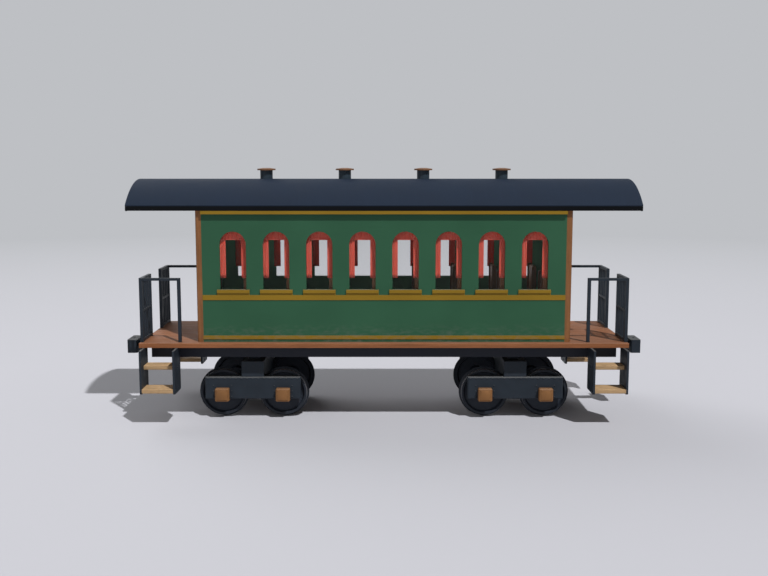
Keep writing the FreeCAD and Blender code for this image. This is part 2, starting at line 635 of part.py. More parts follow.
def window_glass():
    """A pane in each window, midway in the wall."""
    body = new_body("window_glass")
    middle = "(Size.body_width - Size.wall_thickness) / 2"
    face = new_sketch(body, "XZ_Plane", f"-{middle}")
    window_outline(face, "Size.glass_gap")
    pad(body, face, "Size.glass_thickness", both_ways=True)
    row_of(body, "X_Axis", WINDOW_RUN, "Size.window_count")
    mirrored(body, "XZ_Plane")


# ---- roof ----

def roof_outline(sketch, drop, half_width, low):
    """The roof's section from an arc below its skin down to a level edge."""
    radius = f"({ROOF_RADIUS} - {drop})"
    edge = f"{ROOF_CENTRE} + sqrt({radius} ^ 2 - ({half_width}) ^ 2)"
    return (
        (half_width, low),
        (half_width, edge, ROOF_CENTRE),
        (f"-({half_width})", edge),
        (f"-({half_width})", low),
    )


def roof():
    """The barrel roof with its ceiling, rebated at the edge for the boards, and vented."""
    body = new_body("roof")
    half, inset = "Size.roof_width / 2", "Size.roof_width / 2 - Size.edge_board"
    skin = "(Size.eave_top - Size.roof_skin)"
    section = new_sketch(body, "YZ_Plane")
    outline(section, (
        (half, skin),
        (half, "Size.eave_top", ROOF_CENTRE),
        (f"-{half}", "Size.eave_top"),
        (f"-{half}", skin),
        (f"-({inset})", skin),
        (f"-({inset})", "Size.eave_bottom"),
        (f"-{WALL_INSIDE}", "Size.eave_bottom", CEILING_CENTRE),
        (WALL_INSIDE, "Size.eave_bottom"),
        (inset, "Size.eave_bottom"),
        (inset, skin),
    ))
    pad(body, section, "Size.roof_length", both_ways=True)
    rebate = new_sketch(body, "YZ_Plane", "Size.roof_length / 2")
    outline(rebate, roof_outline(rebate, "Size.roof_skin", "Size.roof_width / 2 + 1", "Size.eave_bottom - 1"))
    front = pocket(body, rebate, "Size.edge_board")
    back_rebate = new_sketch(body, "YZ_Plane", "-Size.roof_length / 2")
    outline(back_rebate, roof_outline(back_rebate, "Size.roof_skin",
                                      "Size.roof_width / 2 + 1", "Size.eave_bottom - 1"))
    pocket(body, back_rebate, "Size.edge_board", backwards=True)
    hole = new_sketch(body, "XY_Plane", "Size.roof_crown")
    circle(hole, "-Size.vent_pitch * (Size.vent_count - 1) / 2", "0", "Size.vent_radius + Size.seat_gap")
    opening = pocket(body, hole)
    row_of(body, "X_Axis", "Size.vent_pitch * (Size.vent_count - 1)", "Size.vent_count", [opening])


def roof_edge():
    """Boards round the roof's edge: one along each eave and an arched one across each end."""
    body = new_body("roof_edge")
    half, inset = "Size.roof_width / 2", "(Size.roof_width / 2 - Size.edge_board)"
    radius = f"({ROOF_RADIUS} - Size.roof_skin - Size.seat_gap)"
    lower = f"({ROOF_RADIUS} - (Size.eave_top - Size.eave_bottom))"
    high = f"{ROOF_CENTRE} + sqrt({radius} ^ 2 - ({half}) ^ 2)"
    foot = f"{ROOF_CENTRE} + sqrt({lower} ^ 2 - {inset} ^ 2)"
    arch = new_sketch(body, "YZ_Plane", "Size.roof_length / 2 - Size.edge_board")
    outline(arch, (
        (half, "Size.eave_bottom"),
        (half, high, ROOF_CENTRE),
        (f"-{half}", high),
        (f"-{half}", "Size.eave_bottom"),
        (f"-{inset}", "Size.eave_bottom"),
        (f"-{inset}", foot, ROOF_CENTRE),
        (inset, foot),
        (inset, "Size.eave_bottom"),
    ))
    pad(body, arch, "Size.edge_board")
    side = new_sketch(body, "YZ_Plane")
    rectangle(side, inset, half, "Size.eave_bottom", "Size.eave_top - Size.roof_skin")
    rectangle(side, f"-{half}", f"-{inset}", "Size.eave_bottom", "Size.eave_top - Size.roof_skin")
    pad(body, side, "Size.roof_length / 2 - Size.edge_board")
    mirrored(body, "YZ_Plane")


def vents():
    """Ventilator tubes through the crown, each with a wide cap."""
    first = "-Size.vent_pitch * (Size.vent_count - 1) / 2"
    run = "Size.vent_pitch * (Size.vent_count - 1)"
    cap_bottom = "(Size.vent_cap_top - Size.vent_cap_thickness)"
    tube = new_body("vent_tubes")
    ring = new_sketch(tube, "XY_Plane", CEILING_CROWN)
    circle(ring, first, "0", "Size.vent_radius")
    circle(ring, first, "0", "Size.vent_radius - Size.vent_wall")
    pad(tube, ring, f"{cap_bottom} - {CEILING_CROWN}")
    row_of(tube, "X_Axis", run, "Size.vent_count")
    cap = new_body("vent_caps")
    cap.setExpression("Placement.Base.x", first)
    side = new_sketch(cap, "XZ_Plane")
    rim = f"{cap_bottom} + Size.vent_cap_rim"
    outline(side, (
        ("0", cap_bottom),
        ("Size.vent_cap_radius", cap_bottom),
        ("Size.vent_cap_radius", rim),
        ("Size.vent_radius / 2", "Size.vent_cap_top"),
        ("0", "Size.vent_cap_top"),
    ))
    revolve(cap, side, "Z_Axis")
    row_of(cap, "X_Axis", run, "Size.vent_count")


# ---- doors ----

DOOR_HALF = "(Size.doorway_width / 2 - Size.door_gap)"
DOOR_LOW = "(Size.deck_top + Size.door_gap)"
DOOR_HIGH = "(Size.deck_top + Size.doorway_height - Size.door_gap)"
DOOR_FACE = f"({END_WALL} - Size.door_gap)"
HINGE_X = f"({END_WALL} + Size.hinge_out)"
HINGE_Y = f"({DOOR_HALF} + Size.door_gap / 2)"
# middle of each hinge above the deck
HINGES = ("Size.doorway_height * 0.12", "Size.doorway_height * 0.5", "Size.doorway_height * 0.88")


def door(label, end):
    """A framed door leaf with a glazed upper light, a sunk lower panel and hinge knuckles."""
    body = new_body(label, end)
    leaf = new_sketch(body, "YZ_Plane", f"{DOOR_FACE} - Size.door_thickness")
    rectangle(leaf, f"-{DOOR_HALF}", DOOR_HALF, DOOR_LOW, DOOR_HIGH)
    pad(body, leaf, "Size.door_thickness")
    inner = f"({DOOR_HALF} - Size.door_rail)"
    middle = "(Size.deck_top + Size.door_panel_top)"
    light = new_sketch(body, "YZ_Plane", DOOR_FACE)
    spring = f"({DOOR_HIGH} - Size.door_rail - {inner})"
    low = f"{middle} + Size.door_rail"
    outline(light, ((f"-{inner}", low), (inner, low), (inner, spring, spring), (f"-{inner}", spring)))
    pocket(body, light)
    for face, backwards in ((DOOR_FACE, False), (f"{DOOR_FACE} - Size.door_thickness", True)):
        panel = new_sketch(body, "YZ_Plane", face)
        rectangle(panel, f"-{inner}", inner, f"{DOOR_LOW} + 1.5 * Size.door_rail", middle)
        pocket(body, panel, "Size.door_panel_sink", backwards=backwards)
    for place in HINGES:
        knuckle = new_sketch(body, "XY_Plane", f"Size.deck_top + {place} - Size.hinge_length / 2")
        circle(knuckle, HINGE_X, HINGE_Y, "Size.hinge_radius")
        pad(body, knuckle, "Size.hinge_length")
        strap = new_sketch(body, "XY_Plane", f"Size.deck_top + {place} - Size.hinge_length / 2")
        rectangle(strap, DOOR_FACE, f"{HINGE_X} - Size.hinge_pin", f"{HINGE_Y} - 5 * Size.hinge_radius",
                  f"{HINGE_Y} - Size.hinge_radius / 2")
        pad(body, strap, "Size.hinge_length")
        bore = new_sketch(body, "XY_Plane", f"Size.deck_top + {place} - Size.hinge_length / 2")
        circle(bore, HINGE_X, HINGE_Y, "Size.hinge_pin + Size.hinge_play")
        pocket(body, bore, "Size.hinge_length", backwards=True)


def door_glass(label, end):
    """The pane in a door's upper light."""
    body = new_body(label, end)
    inner = f"({DOOR_HALF} - Size.door_rail - Size.glass_gap)"
    low = "Size.deck_top + Size.door_panel_top + Size.door_rail + Size.glass_gap"
    spring = f"({DOOR_HIGH} - 2 * Size.door_rail - {DOOR_HALF} + Size.door_rail)"
    pane = new_sketch(body, "YZ_Plane", f"{DOOR_FACE} - Size.door_thickness / 2")
    outline(pane, ((f"-{inner}", low), (inner, low), (inner, spring, spring), (f"-{inner}", spring)))
    pad(body, pane, "Size.glass_thickness", both_ways=True)


def door_frame(label, end):
    """The architrave on the platform side of a bulkhead, with the hinges' lugs and pins."""
    body = new_body(label, end)
    face = new_sketch(body, "YZ_Plane", END_WALL)
    jamb = "(Size.doorway_width / 2)"
    wide = f"({jamb} + Size.architrave)"
    lintel = "(Size.deck_top + Size.doorway_height)"
    for near, far in ((jamb, wide), (f"-{wide}", f"-{jamb}")):
        rectangle(face, near, far, "Size.deck_top", f"{lintel} - Size.seat_gap")
    rectangle(face, f"-{wide}", wide, lintel, f"{lintel} + Size.architrave")
    pad(body, face, "Size.architrave_thickness")
    for place in HINGES:
        low = f"(Size.deck_top + {place} - Size.hinge_length / 2)"
        high = f"(Size.deck_top + {place} + Size.hinge_length / 2)"
        pin = new_sketch(body, "XY_Plane", f"{low} - Size.hinge_lug")
        circle(pin, HINGE_X, HINGE_Y, "Size.hinge_pin")
        pad(body, pin, "Size.hinge_length + 2 * Size.hinge_lug")
        for start in (f"{low} - Size.hinge_end_play - Size.hinge_lug", f"{high} + Size.hinge_end_play"):
            lug = new_sketch(body, "XY_Plane", start)
            circle(lug, HINGE_X, HINGE_Y, "Size.hinge_radius")
            pad(body, lug, "Size.hinge_lug")
            arm = new_sketch(body, "XY_Plane", start)
            rectangle(arm, f"{END_WALL} + Size.architrave_thickness / 2", HINGE_X,
                      f"{jamb} + Size.hinge_pin / 2", f"{HINGE_Y} + Size.hinge_radius * 2")
            pad(body, arm, "Size.hinge_lug")


# ---- railings ----

def railing(label, end):
    """An end railing in two halves, each with its posts, three rails and balusters."""
    body = new_body(label, end)
    outer, inner = "(Size.rail_line + Size.rail_post / 2)", "(Size.rail_gap / 2)"
    face = "(Size.deck_length / 2 - Size.rail_post)"
    frame = new_sketch(body, "YZ_Plane", face)
    rectangle(frame, inner, outer, "Size.deck_top", RAIL_TOP)
    rectangle(frame, f"{inner} + Size.rail_post", f"{outer} - Size.rail_post", "Size.deck_top + Size.bottom_rail_up",
              f"{RAIL_TOP} - Size.rail_depth")
    pad(body, frame, "Size.rail_post")
    gap = new_sketch(body, "YZ_Plane", face)
    rectangle(gap, f"{inner} + Size.rail_post", f"{outer} - Size.rail_post", "Size.deck_top - 1",
              "Size.deck_top + Size.bottom_rail_up - Size.mid_rail_depth")
    pocket(body, gap)
    middle = new_sketch(body, "YZ_Plane", f"{face} + Size.rail_post / 2")
    rectangle(middle, f"{inner} + Size.rail_post / 2", f"{outer} - Size.rail_post / 2",
              "Size.deck_top + Size.mid_rail_top - Size.mid_rail_depth", "Size.deck_top + Size.mid_rail_top")
    pad(body, middle, "Size.mid_rail_depth", both_ways=True)
    step = f"(({outer} - {inner} - Size.rail_post) / (Size.baluster_count + 1))"
    bar = new_sketch(body, "YZ_Plane", f"{face} + Size.rail_post / 2")
    place = f"({inner} + Size.rail_post / 2 + {step})"
    rectangle(bar, f"{place} - Size.baluster / 2", f"{place} + Size.baluster / 2",
              "Size.deck_top + Size.bottom_rail_up - Size.mid_rail_depth / 2", f"{RAIL_TOP} - Size.rail_depth / 2")
    baluster = pad(body, bar, "Size.baluster", both_ways=True)
    row_of(body, "Y_Axis", f"{step} * (Size.baluster_count - 1)", "Size.baluster_count", [baluster])
    mirrored(body, "XZ_Plane")


def side_rails():
    """A bar along each side from the railing's corner to a post on the deck."""
    body = new_body("side_rails")
    low, high = "Size.rail_line - Size.rail_post / 2", "Size.rail_line + Size.rail_post / 2"
    post = new_sketch(body, "XY_Plane", "Size.deck_top")
    inner = "(Size.side_post_place - Size.rail_post / 2)"
    rectangle(post, inner, f"{inner} + Size.rail_post", low, high)
    pad(body, post, "Size.rail_height")
    bar = new_sketch(body, "XY_Plane", f"{RAIL_TOP} - Size.rail_depth")
    rectangle(bar, f"{inner} + Size.rail_post + Size.seat_gap", "Size.deck_length / 2 - Size.rail_post - Size.seat_gap",
              low, high)
    pad(body, bar, "Size.rail_depth")
    mirrored(body, "XZ_Plane")
    mirrored(body, "YZ_Plane")


# ---- inside ----

def curtains():
    """Cloth at each window: a valance above and a curtain down each side, on a square rail."""
    rail = new_body("curtain_rails")
    reach = "(Size.body_length / 2 - Size.wall_thickness - Size.curtain_outer / 4)"
    away = f"-({WALL_INSIDE} - Size.curtain_off)"
    face = new_sketch(rail, "XZ_Plane", away)
    rectangle(face, f"-{reach}", reach, "Size.rail_drop", "Size.rail_drop + Size.rail_side")
    pad(rail, face, "2 * Size.curtain_thickness")
    bracket = new_sketch(rail, "XZ_Plane", f"-{WALL_INSIDE}")
    left = f"({FIRST_WINDOW} - Size.window_pitch / 2)"
    rectangle(bracket, left, f"{left} + Size.rail_bracket",
              "Size.rail_drop", "Size.rail_drop + Size.rail_side")
    foot = pad(rail, bracket, "2 * Size.curtain_off")
    row_of(rail, "X_Axis", f"{WINDOW_RUN} + Size.window_pitch - Size.rail_bracket",
           "Size.window_count + 1", [foot])
    mirrored(rail, "XZ_Plane")
    cloth = new_body("curtains")
    top = "(Size.rail_drop - Size.seat_gap)"
    # how far behind the wall, near and far edge from the window's middle, bottom
    panels = (
        ("0", "-Size.curtain_outer", "Size.curtain_outer", "Size.valance_bottom"),
        ("Size.curtain_thickness", "-Size.curtain_outer", "-Size.curtain_inner", "Size.curtain_bottom"),
        ("Size.curtain_thickness", "Size.curtain_inner", "Size.curtain_outer", "Size.curtain_bottom"),
    )
    for behind, near, far, low in panels:
        panel = new_sketch(cloth, "XZ_Plane", f"{away} + {behind} + Size.seat_gap")
        rectangle(panel, f"{FIRST_WINDOW} + {near}", f"{FIRST_WINDOW} + {far}", low, top)
        pad(cloth, panel, "Size.curtain_thickness - 2 * Size.seat_gap")
    row_of(cloth, "X_Axis", WINDOW_RUN, "Size.window_count")
    mirrored(cloth, "XZ_Plane")


BENCH_REAR = f"({FIRST_WINDOW} + Size.bench_back)"
BENCH_FRONT = f"({BENCH_REAR} - Size.bench_board - Size.bench_seat_depth)"
SEAT_BOARD_TOP = "(Size.deck_top + Size.bench_seat_height)"
SEAT_BOARD = f"({SEAT_BOARD_TOP} - Size.bench_board)"
BENCH_TOP = "(Size.deck_top + Size.bench_height)"
BENCH_NEAR = "Size.bench_inner + Size.bench_end + Size.seat_gap"
BENCH_ACROSS = "Size.bench_outer - Size.bench_inner - 2 * Size.bench_end - 2 * Size.seat_gap"


def bench_frames():
    """A wooden bench beside each window: two end panels with arms, a seat board and a back board."""
    body = new_body("bench_frames")
    arm, behind = "(Size.deck_top + Size.bench_arm_height)", f"({BENCH_REAR} - Size.bench_back_width)"
    for place in ("Size.bench_inner", "Size.bench_outer - Size.bench_end"):
        panel = new_sketch(body, "XZ_Plane", f"-({place})")
        outline(panel, (
            (f"({BENCH_FRONT} + 2 * Size.bench_end)", "Size.deck_top"),
            (BENCH_REAR, "Size.deck_top"),
            (BENCH_REAR, f"{BENCH_TOP} - Size.bench_round"),
            (f"{BENCH_REAR} - Size.bench_round", BENCH_TOP),
            (f"{behind} + Size.bench_round", BENCH_TOP),
            (behind, f"{BENCH_TOP} - Size.bench_round"),
            (behind, arm),
            (f"{BENCH_FRONT} + Size.bench_round", arm),
            (BENCH_FRONT, f"{arm} - Size.bench_round"),
            (BENCH_FRONT, f"{SEAT_BOARD} - Size.bench_end"),
        ))
        pad(body, panel, "Size.bench_end", backwards=True)
    boards = new_sketch(body, "XZ_Plane", f"-({BENCH_NEAR})")
    rear = f"({BENCH_REAR} - Size.bench_board)"
    rectangle(boards, BENCH_FRONT, f"{rear} - Size.seat_gap", SEAT_BOARD, SEAT_BOARD_TOP)
    rectangle(boards, rear, BENCH_REAR, SEAT_BOARD, f"{BENCH_TOP} - Size.bench_round")
    pad(body, boards, BENCH_ACROSS, backwards=True)
    row_of(body, "X_Axis", WINDOW_RUN, "Size.window_count")
    mirrored(body, "XZ_Plane")


def bench_cushions():
    """A seat cushion on each seat board and a back cushion against each back board."""
    body = new_body("bench_cushions")
    seat_low = f"({SEAT_BOARD_TOP} + Size.seat_gap)"
    back_low = f"{seat_low} + Size.cushion_thickness + Size.seat_gap"
    back_face = f"({BENCH_REAR} - Size.bench_board - Size.seat_gap)"
    sides = new_sketch(body, "XZ_Plane", f"-({BENCH_NEAR})")
    rectangle(sides, BENCH_FRONT, back_face, seat_low, f"{seat_low} + Size.cushion_thickness")
    rectangle(sides, f"{back_face} - Size.back_pad_thickness", back_face,
              back_low, f"{BENCH_TOP} - Size.bench_round")
    pad(body, sides, BENCH_ACROSS, backwards=True)
    row_of(body, "X_Axis", WINDOW_RUN, "Size.window_count")
    mirrored(body, "XZ_Plane")


# ---- bogies ----

def on_side_frame_rim(edge):
    """Whether an edge bounds the side frame's outer face at its top, foot or ends."""
    middle = edge.CenterOfMass
    above = min(abs(middle.z - size("Size.side_frame_top")), abs(middle.z - size("Size.side_frame_bottom")))
    at_end = abs(abs(middle.x) - size("Size.side_frame_length / 2")) < 1
    return middle.y > size("Size.side_frame_front") - 1 and (above < 1 or at_end)


def bogie_frame(label, end):
    """Side frames with axle-box slots, a bolster that rests on them and a cross tie between them."""
    body = new_body(label)
    body.setExpression("Placement.Base.x", f"{end} * Size.bogie_place")
    half, gap = "Size.side_frame_length / 2", "Size.seat_gap"
    slot = f"(Size.axle_box_width / 2 + {gap})"
    axle, roof_of_slot = "Size.wheelbase / 2", "Size.axle_box_top + Size.seat_gap"
    low, high = "Size.side_frame_bottom", "Size.side_frame_top"
    face = new_sketch(body, "XZ_Plane", "-Size.side_frame_front")
    outline(face, (
        (f"-{half}", low),
        (f"-{axle} - {slot}", low),
        (f"-{axle} - {slot}", roof_of_slot),
        (f"-{axle} + {slot}", roof_of_slot),
        (f"-{axle} + {slot}", low),
        (f"{axle} - {slot}", low),
        (f"{axle} - {slot}", roof_of_slot),
        (f"{axle} + {slot}", roof_of_slot),
        (f"{axle} + {slot}", low),
        (half, low),
        (half, high),
        (f"-{half}", high),
    ))
    pad(body, face, "Size.side_frame_front - Size.side_frame_back")
    soften(body, "Chamfer", None, "Size.side_frame_bevel", on_side_frame_rim)
    mirrored(body, "XZ_Plane")
    beam = new_sketch(body, "YZ_Plane")
    foot, shoulder = "Size.belly_half", "(Size.side_frame_back - Size.bolster_width / 2)"
    rest = f"{high} + {gap}"
    outline(beam, (
        ("-Size.bolster_end", rest),
        (f"-{shoulder}", rest),
        (f"-{foot}", "Size.bolster_belly"),
        (foot, "Size.bolster_belly"),
        (shoulder, rest),
        ("Size.bolster_end", rest),
        ("Size.bolster_end", "Size.bolster_top"),
        ("-Size.bolster_end", "Size.bolster_top"),
    ))
    pad(body, beam, "Size.bolster_width", both_ways=True)
    tie = new_sketch(body, "YZ_Plane")
    reach = f"(Size.side_frame_back - {gap})"
    rectangle(tie, f"-{reach}", reach, "Size.transom_bottom", f"Size.bolster_belly - {gap}")
    pad(body, tie, "Size.transom_width", both_ways=True)
    bearers = new_sketch(body, "XY_Plane", "Size.bolster_top")
    wide = "Size.bolster_width / 4"
    for side in ("", "-"):
        middle = f"{side}Size.side_bearer_place"
        rectangle(bearers, f"-{wide}", wide, f"{middle} - {wide} / 2", f"{middle} + {wide} / 2")
    pad(body, bearers, "Size.side_bearer_top - Size.bolster_top")
    plate = new_sketch(body, "XY_Plane", "Size.bolster_top")
    circle(plate, "0", "0", "Size.centre_plate_radius")
    pad(body, plate, "Size.centre_plate_meet - Size.bolster_top")
    bore = new_sketch(body, "XY_Plane", "Size.centre_plate_meet")
    circle(bore, "0", "0", "Size.kingpin_radius + Size.kingpin_play")
    pocket(body, bore, "Size.centre_plate_meet - Size.kingpin_bottom + Size.hinge_lug")


def axle_boxes(label, end):
    """Four axle boxes in the side frames' slots, each bored for its journal."""
    body = new_body(label)
    body.setExpression("Placement.Base.x", f"{end} * Size.bogie_place")
    middle, half = "-Size.wheelbase / 2", "Size.axle_box_width / 2"
    face = new_sketch(body, "XZ_Plane", "-Size.axle_box_front")
    rectangle(face, f"{middle} - {half}", f"{middle} + {half}", "Size.axle_box_bottom", "Size.axle_box_top")
    pad(body, face, "Size.axle_box_front - Size.axle_box_back")
    soften(body, "Chamfer", None, "Size.axle_box_bevel",
           lambda edge: edge.CenterOfMass.y > size("Size.axle_box_back") + 1)
    bore = new_sketch(body, "XZ_Plane", "-Size.axle_box_back")
    circle(bore, middle, "Size.flange_radius", "Size.journal_radius + Size.journal_play")
    pocket(body, bore, "Size.journal_end - Size.axle_box_back + Size.moulding_proud")
    row_of(body, "X_Axis", "Size.wheelbase", "2")
    mirrored(body, "XZ_Plane")


def wheelset(number, end, along):
    """One axle and its two wheels, each turned from its own section."""
    wheels, axle = new_body(f"wheels_{number}"), new_body(f"axle_{number}")
    for body in (wheels, axle):
        body.setExpression("Placement.Base.x", f"{end} * Size.bogie_place + {along} * Size.wheelbase / 2")
        body.setExpression("Placement.Base.z", "Size.flange_radius")
    back, front = "Size.wheel_back", "Size.wheel_front"
    middle = f"(({back} + {front}) / 2)"
    web_back, web_front = f"({middle} - Size.web_thickness / 2)", f"({middle} + Size.web_thickness / 2)"
    rim = "(Size.tread_radius - Size.rim_depth)"
    bore = "Size.seat_radius + Size.seat_gap / 2"
    section = new_sketch(wheels, "XY_Plane")
    # radius, place across
    outline(section, (
        (bore, f"{back} - Size.web_thickness / 4"),
        ("Size.hub_radius", f"{back} - Size.web_thickness / 4"),
        ("Size.hub_radius + Size.web_thickness", web_back),
        (f"{rim} - Size.web_thickness", web_back),
        (rim, back),
        ("Size.flange_radius - Size.flange_thickness / 4", back),
        ("Size.flange_radius", f"{back} + Size.flange_thickness / 4"),
        ("Size.flange_radius", f"{back} + Size.flange_thickness / 2"),
        ("Size.tread_radius + Size.tread_taper", f"{back} + Size.flange_thickness"),
        ("Size.tread_radius", f"{back} + 1.3 * Size.flange_thickness"),
        ("Size.tread_radius - Size.tread_taper", front),
        (rim, front),
        (f"{rim} - Size.web_thickness", web_front),
        ("Size.hub_radius + Size.web_thickness", web_front),
        ("Size.hub_radius", f"{front} + Size.web_thickness / 4"),
        (bore, f"{front} + Size.web_thickness / 4"),
    ))
    revolve(wheels, section, "Y_Axis")
    mirrored(wheels, "XZ_Plane")
    shaft = new_sketch(axle, "XY_Plane")
    seat_start, seat_end = f"({back} - Size.web_thickness)", f"({front} + Size.web_thickness / 4)"
    outline(shaft, (
        ("0", "0"),
        ("Size.axle_radius", "0"),
        ("Size.axle_radius", f"{seat_start} - Size.web_thickness"),
        ("Size.seat_radius", seat_start),
        ("Size.seat_radius", seat_end),
        ("Size.axle_radius", f"{seat_end} + Size.moulding_proud / 2"),
        ("Size.journal_radius", "Size.axle_box_back - Size.hinge_pin"),
        ("Size.journal_radius", "Size.journal_end"),
        ("0", "Size.journal_end"),
    ))
    revolve(axle, shaft, "Y_Axis")
    mirrored(axle, "XZ_Plane")


# ---- assembly ----

ENDS = (("front", 1), ("rear", -1))

underframe()
deck()
side_wall("wall_left", 1)
side_wall("wall_right", -1)
corner_posts()
mouldings()
window_sills()
window_glass()
roof()
roof_edge()
vents()
curtains()
bench_frames()
bench_cushions()
side_rails()
step_plates()
step_treads()
for name, end in ENDS:
    bulkhead(f"bulkhead_{name}", end)
    door_frame(f"door_frame_{name}", end)
    door(f"door_{name}", end)
    door_glass(f"door_glass_{name}", end)
    railing(f"railing_{name}", end)
    coupler(f"coupler_{name}", end)
    bogie_frame(f"bogie_frame_{name}", end)
    axle_boxes(f"axle_boxes_{name}", end)
# number of the wheelset, its bogie, its side of the bogie's middle
for number, end, along in ((1, 1, 1), (2, 1, -1), (3, -1, 1), (4, -1, -1)):
    wheelset(number, end, along)

doc.recompute()

for thing in doc.Objects:
    if "Invalid" in thing.State or "Error" in thing.State:
        raise RuntimeError(f"{thing.Label} did not build: {thing.State}")
for node in nodes:
    if node.Shape.isNull() or not node.Shape.isValid():
        raise RuntimeError(f"{node.Label} has no valid shape")

os.makedirs("parts", exist_ok=True)
for node in nodes:
    node.Shape.exportStep(f"parts/{node.Label}.step")
    print(f"{node.Label}: {len(node.Shape.Solids)} solids, {node.Shape.Volume / 1e6:.1f} litres")
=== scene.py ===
import math

import bmesh
import bpy
from bpy.props import FloatProperty, FloatVectorProperty, IntProperty, PointerProperty
from bpy.types import Operator, Panel, PropertyGroup
from mathutils import Matrix, Vector


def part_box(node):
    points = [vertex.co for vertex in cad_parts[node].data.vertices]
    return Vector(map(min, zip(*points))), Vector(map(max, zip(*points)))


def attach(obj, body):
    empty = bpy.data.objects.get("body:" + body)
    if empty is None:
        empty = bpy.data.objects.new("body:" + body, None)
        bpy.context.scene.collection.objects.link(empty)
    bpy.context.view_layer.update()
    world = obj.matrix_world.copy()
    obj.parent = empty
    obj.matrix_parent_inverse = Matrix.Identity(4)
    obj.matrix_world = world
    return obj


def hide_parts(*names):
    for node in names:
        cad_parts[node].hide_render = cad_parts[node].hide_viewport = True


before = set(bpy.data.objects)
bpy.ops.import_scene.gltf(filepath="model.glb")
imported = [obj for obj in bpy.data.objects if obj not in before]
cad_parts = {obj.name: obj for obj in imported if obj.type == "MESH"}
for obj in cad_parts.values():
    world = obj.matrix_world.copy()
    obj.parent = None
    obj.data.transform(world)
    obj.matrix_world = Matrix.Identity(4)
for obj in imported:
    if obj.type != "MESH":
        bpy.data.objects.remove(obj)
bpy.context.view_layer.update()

bl_info = {
    "name": "Open-platform coach",
    "version": (1, 0, 0),
    "blender": (4, 5, 0),
    "location": "View3D > Sidebar > Coach",
    "description": "Finishes, cloth, upholstery and ironwork for an open-platform railway coach",
    "category": "Object",
}

SIDES = (("left", 1), ("right", -1))
ENDS = (("front", 1), ("rear", -1))
X, Y, Z = 0, 1, 2
# the grey of dust; mixed onto up-facing faces it is also painted light on their tops
DUST_AND_TOP_LIGHT = (0.19, 0.18, 0.165)
RUST = (0.12, 0.048, 0.02)
# how deep a head or a knob is let into the face that carries it
SUNK = 0.0002


def seen(red, green, blue):
    """The linear colour of a paint whose screen values run from 0 to 255."""
    return tuple(((v / 255 + 0.055) / 1.055) ** 2.4 if v > 10 else v / 3295 for v in (red, green, blue))


def colour_of(name, swatch, meaning):
    return FloatVectorProperty(name=name, description=meaning, subtype="COLOR", size=3, min=0, max=1,
                               default=swatch)


def length_of(name, metres, meaning):
    return FloatProperty(name=name, description=meaning, subtype="DISTANCE", unit="LENGTH", min=0, default=metres)


class CoachColours(PropertyGroup):
    body: colour_of("Body", seen(43, 82, 59), "Green paint of the walls")
    # painted light: a much lighter copy of the body green, a second paint that also stands in for the light the
    # cabin's walls don't get
    cabin: colour_of("Cabin walls", seen(104, 172, 134), "Pale green paint inside the cabin")
    trim: colour_of("Trim", seen(129, 101, 27), "Ochre-gold paint of the mouldings and sills")
    post: colour_of("Posts", seen(125, 83, 50), "Varnished timber of the posts, doors and door frames")
    deck: colour_of("Deck", seen(135, 86, 56), "Oiled planks of the platforms")
    roof: colour_of("Roof", seen(30, 39, 53), "Slate-blue paint of the roof")
    ceiling: colour_of("Ceiling", seen(212, 204, 182), "Cream paint under the roof")
    edge: colour_of("Roof edge", seen(9, 11, 14), "Black boards round the roof")
    vent: colour_of("Ventilators", seen(40, 52, 62), "Slate paint of the ventilator tubes")
    vent_cap: colour_of("Ventilator caps", seen(114, 80, 56), "Brown paint of the ventilator caps")
    iron: colour_of("Iron", seen(32, 39, 47), "Slate-black paint of railings, steps and bogies")
    underframe: colour_of("Underframe", seen(30, 33, 42), "Black paint of the underframe")
    axle_box: colour_of("Axle boxes", seen(121, 84, 50), "Ochre-brown paint of the axle boxes")
    tread: colour_of("Step treads", seen(170, 140, 104), "Worn bare planks of the steps")
    wheel: colour_of("Wheels", seen(38, 43, 52), "Dark iron of the wheels")
    steel: colour_of("Steel", seen(120, 120, 124), "Turned and polished steel")
    brass: colour_of("Brass", seen(186, 148, 78), "Curtain rails and door knobs")
    bench: colour_of("Benches", seen(122, 82, 54), "Dark varnished timber of the benches")
    leather: colour_of("Leather", seen(128, 78, 50), "Bench cushions")
    cloth: colour_of("Curtains", seen(217, 96, 80), "Coral-red curtain cloth")


class CoachSizes(PropertyGroup):
    window_count: IntProperty(name="Windows", description="Windows on each side", default=8, min=1)
    window_pitch: length_of("Window pitch", 0.75, "Window centre to window centre")
    valance_bottom: length_of("Valance hem", 3.196, "Height of the valances' hem")
    curtain_bottom: length_of("Curtain hem", 2.53, "Height of the side curtains' hem")
    curtain_inner: length_of("Curtain inner edge", 0.136, "From the window's middle")
    curtain_outer: length_of("Curtain outer edge", 0.262, "From the window's middle")
    pleat: length_of("Pleat", 0.0255, "Width of a pleat in the curtains")
    seat_front: length_of("Seat front", 0.206, "Front of a seat before the window's middle")
    seat_back: length_of("Seat back", 0.2237, "Back board's face past the window's middle")
    seat_width: length_of("Seat width", 0.5114, "Cushion from side to side")
    back_pad: length_of("Back pad", 0.058, "Thickness of a back cushion")
    seat_pad: length_of("Seat pad", 0.095, "Thickness of a seat cushion")
    piping: length_of("Piping", 0.0045, "Radius of the cushions' piping")
    rivet: length_of("Rivet", 0.013, "Radius of a rivet head")
    lid: length_of("Axle-box lid", 0.182, "Side of an axle box's lid")
    knob: length_of("Door knob", 0.027, "Radius of a door knob")


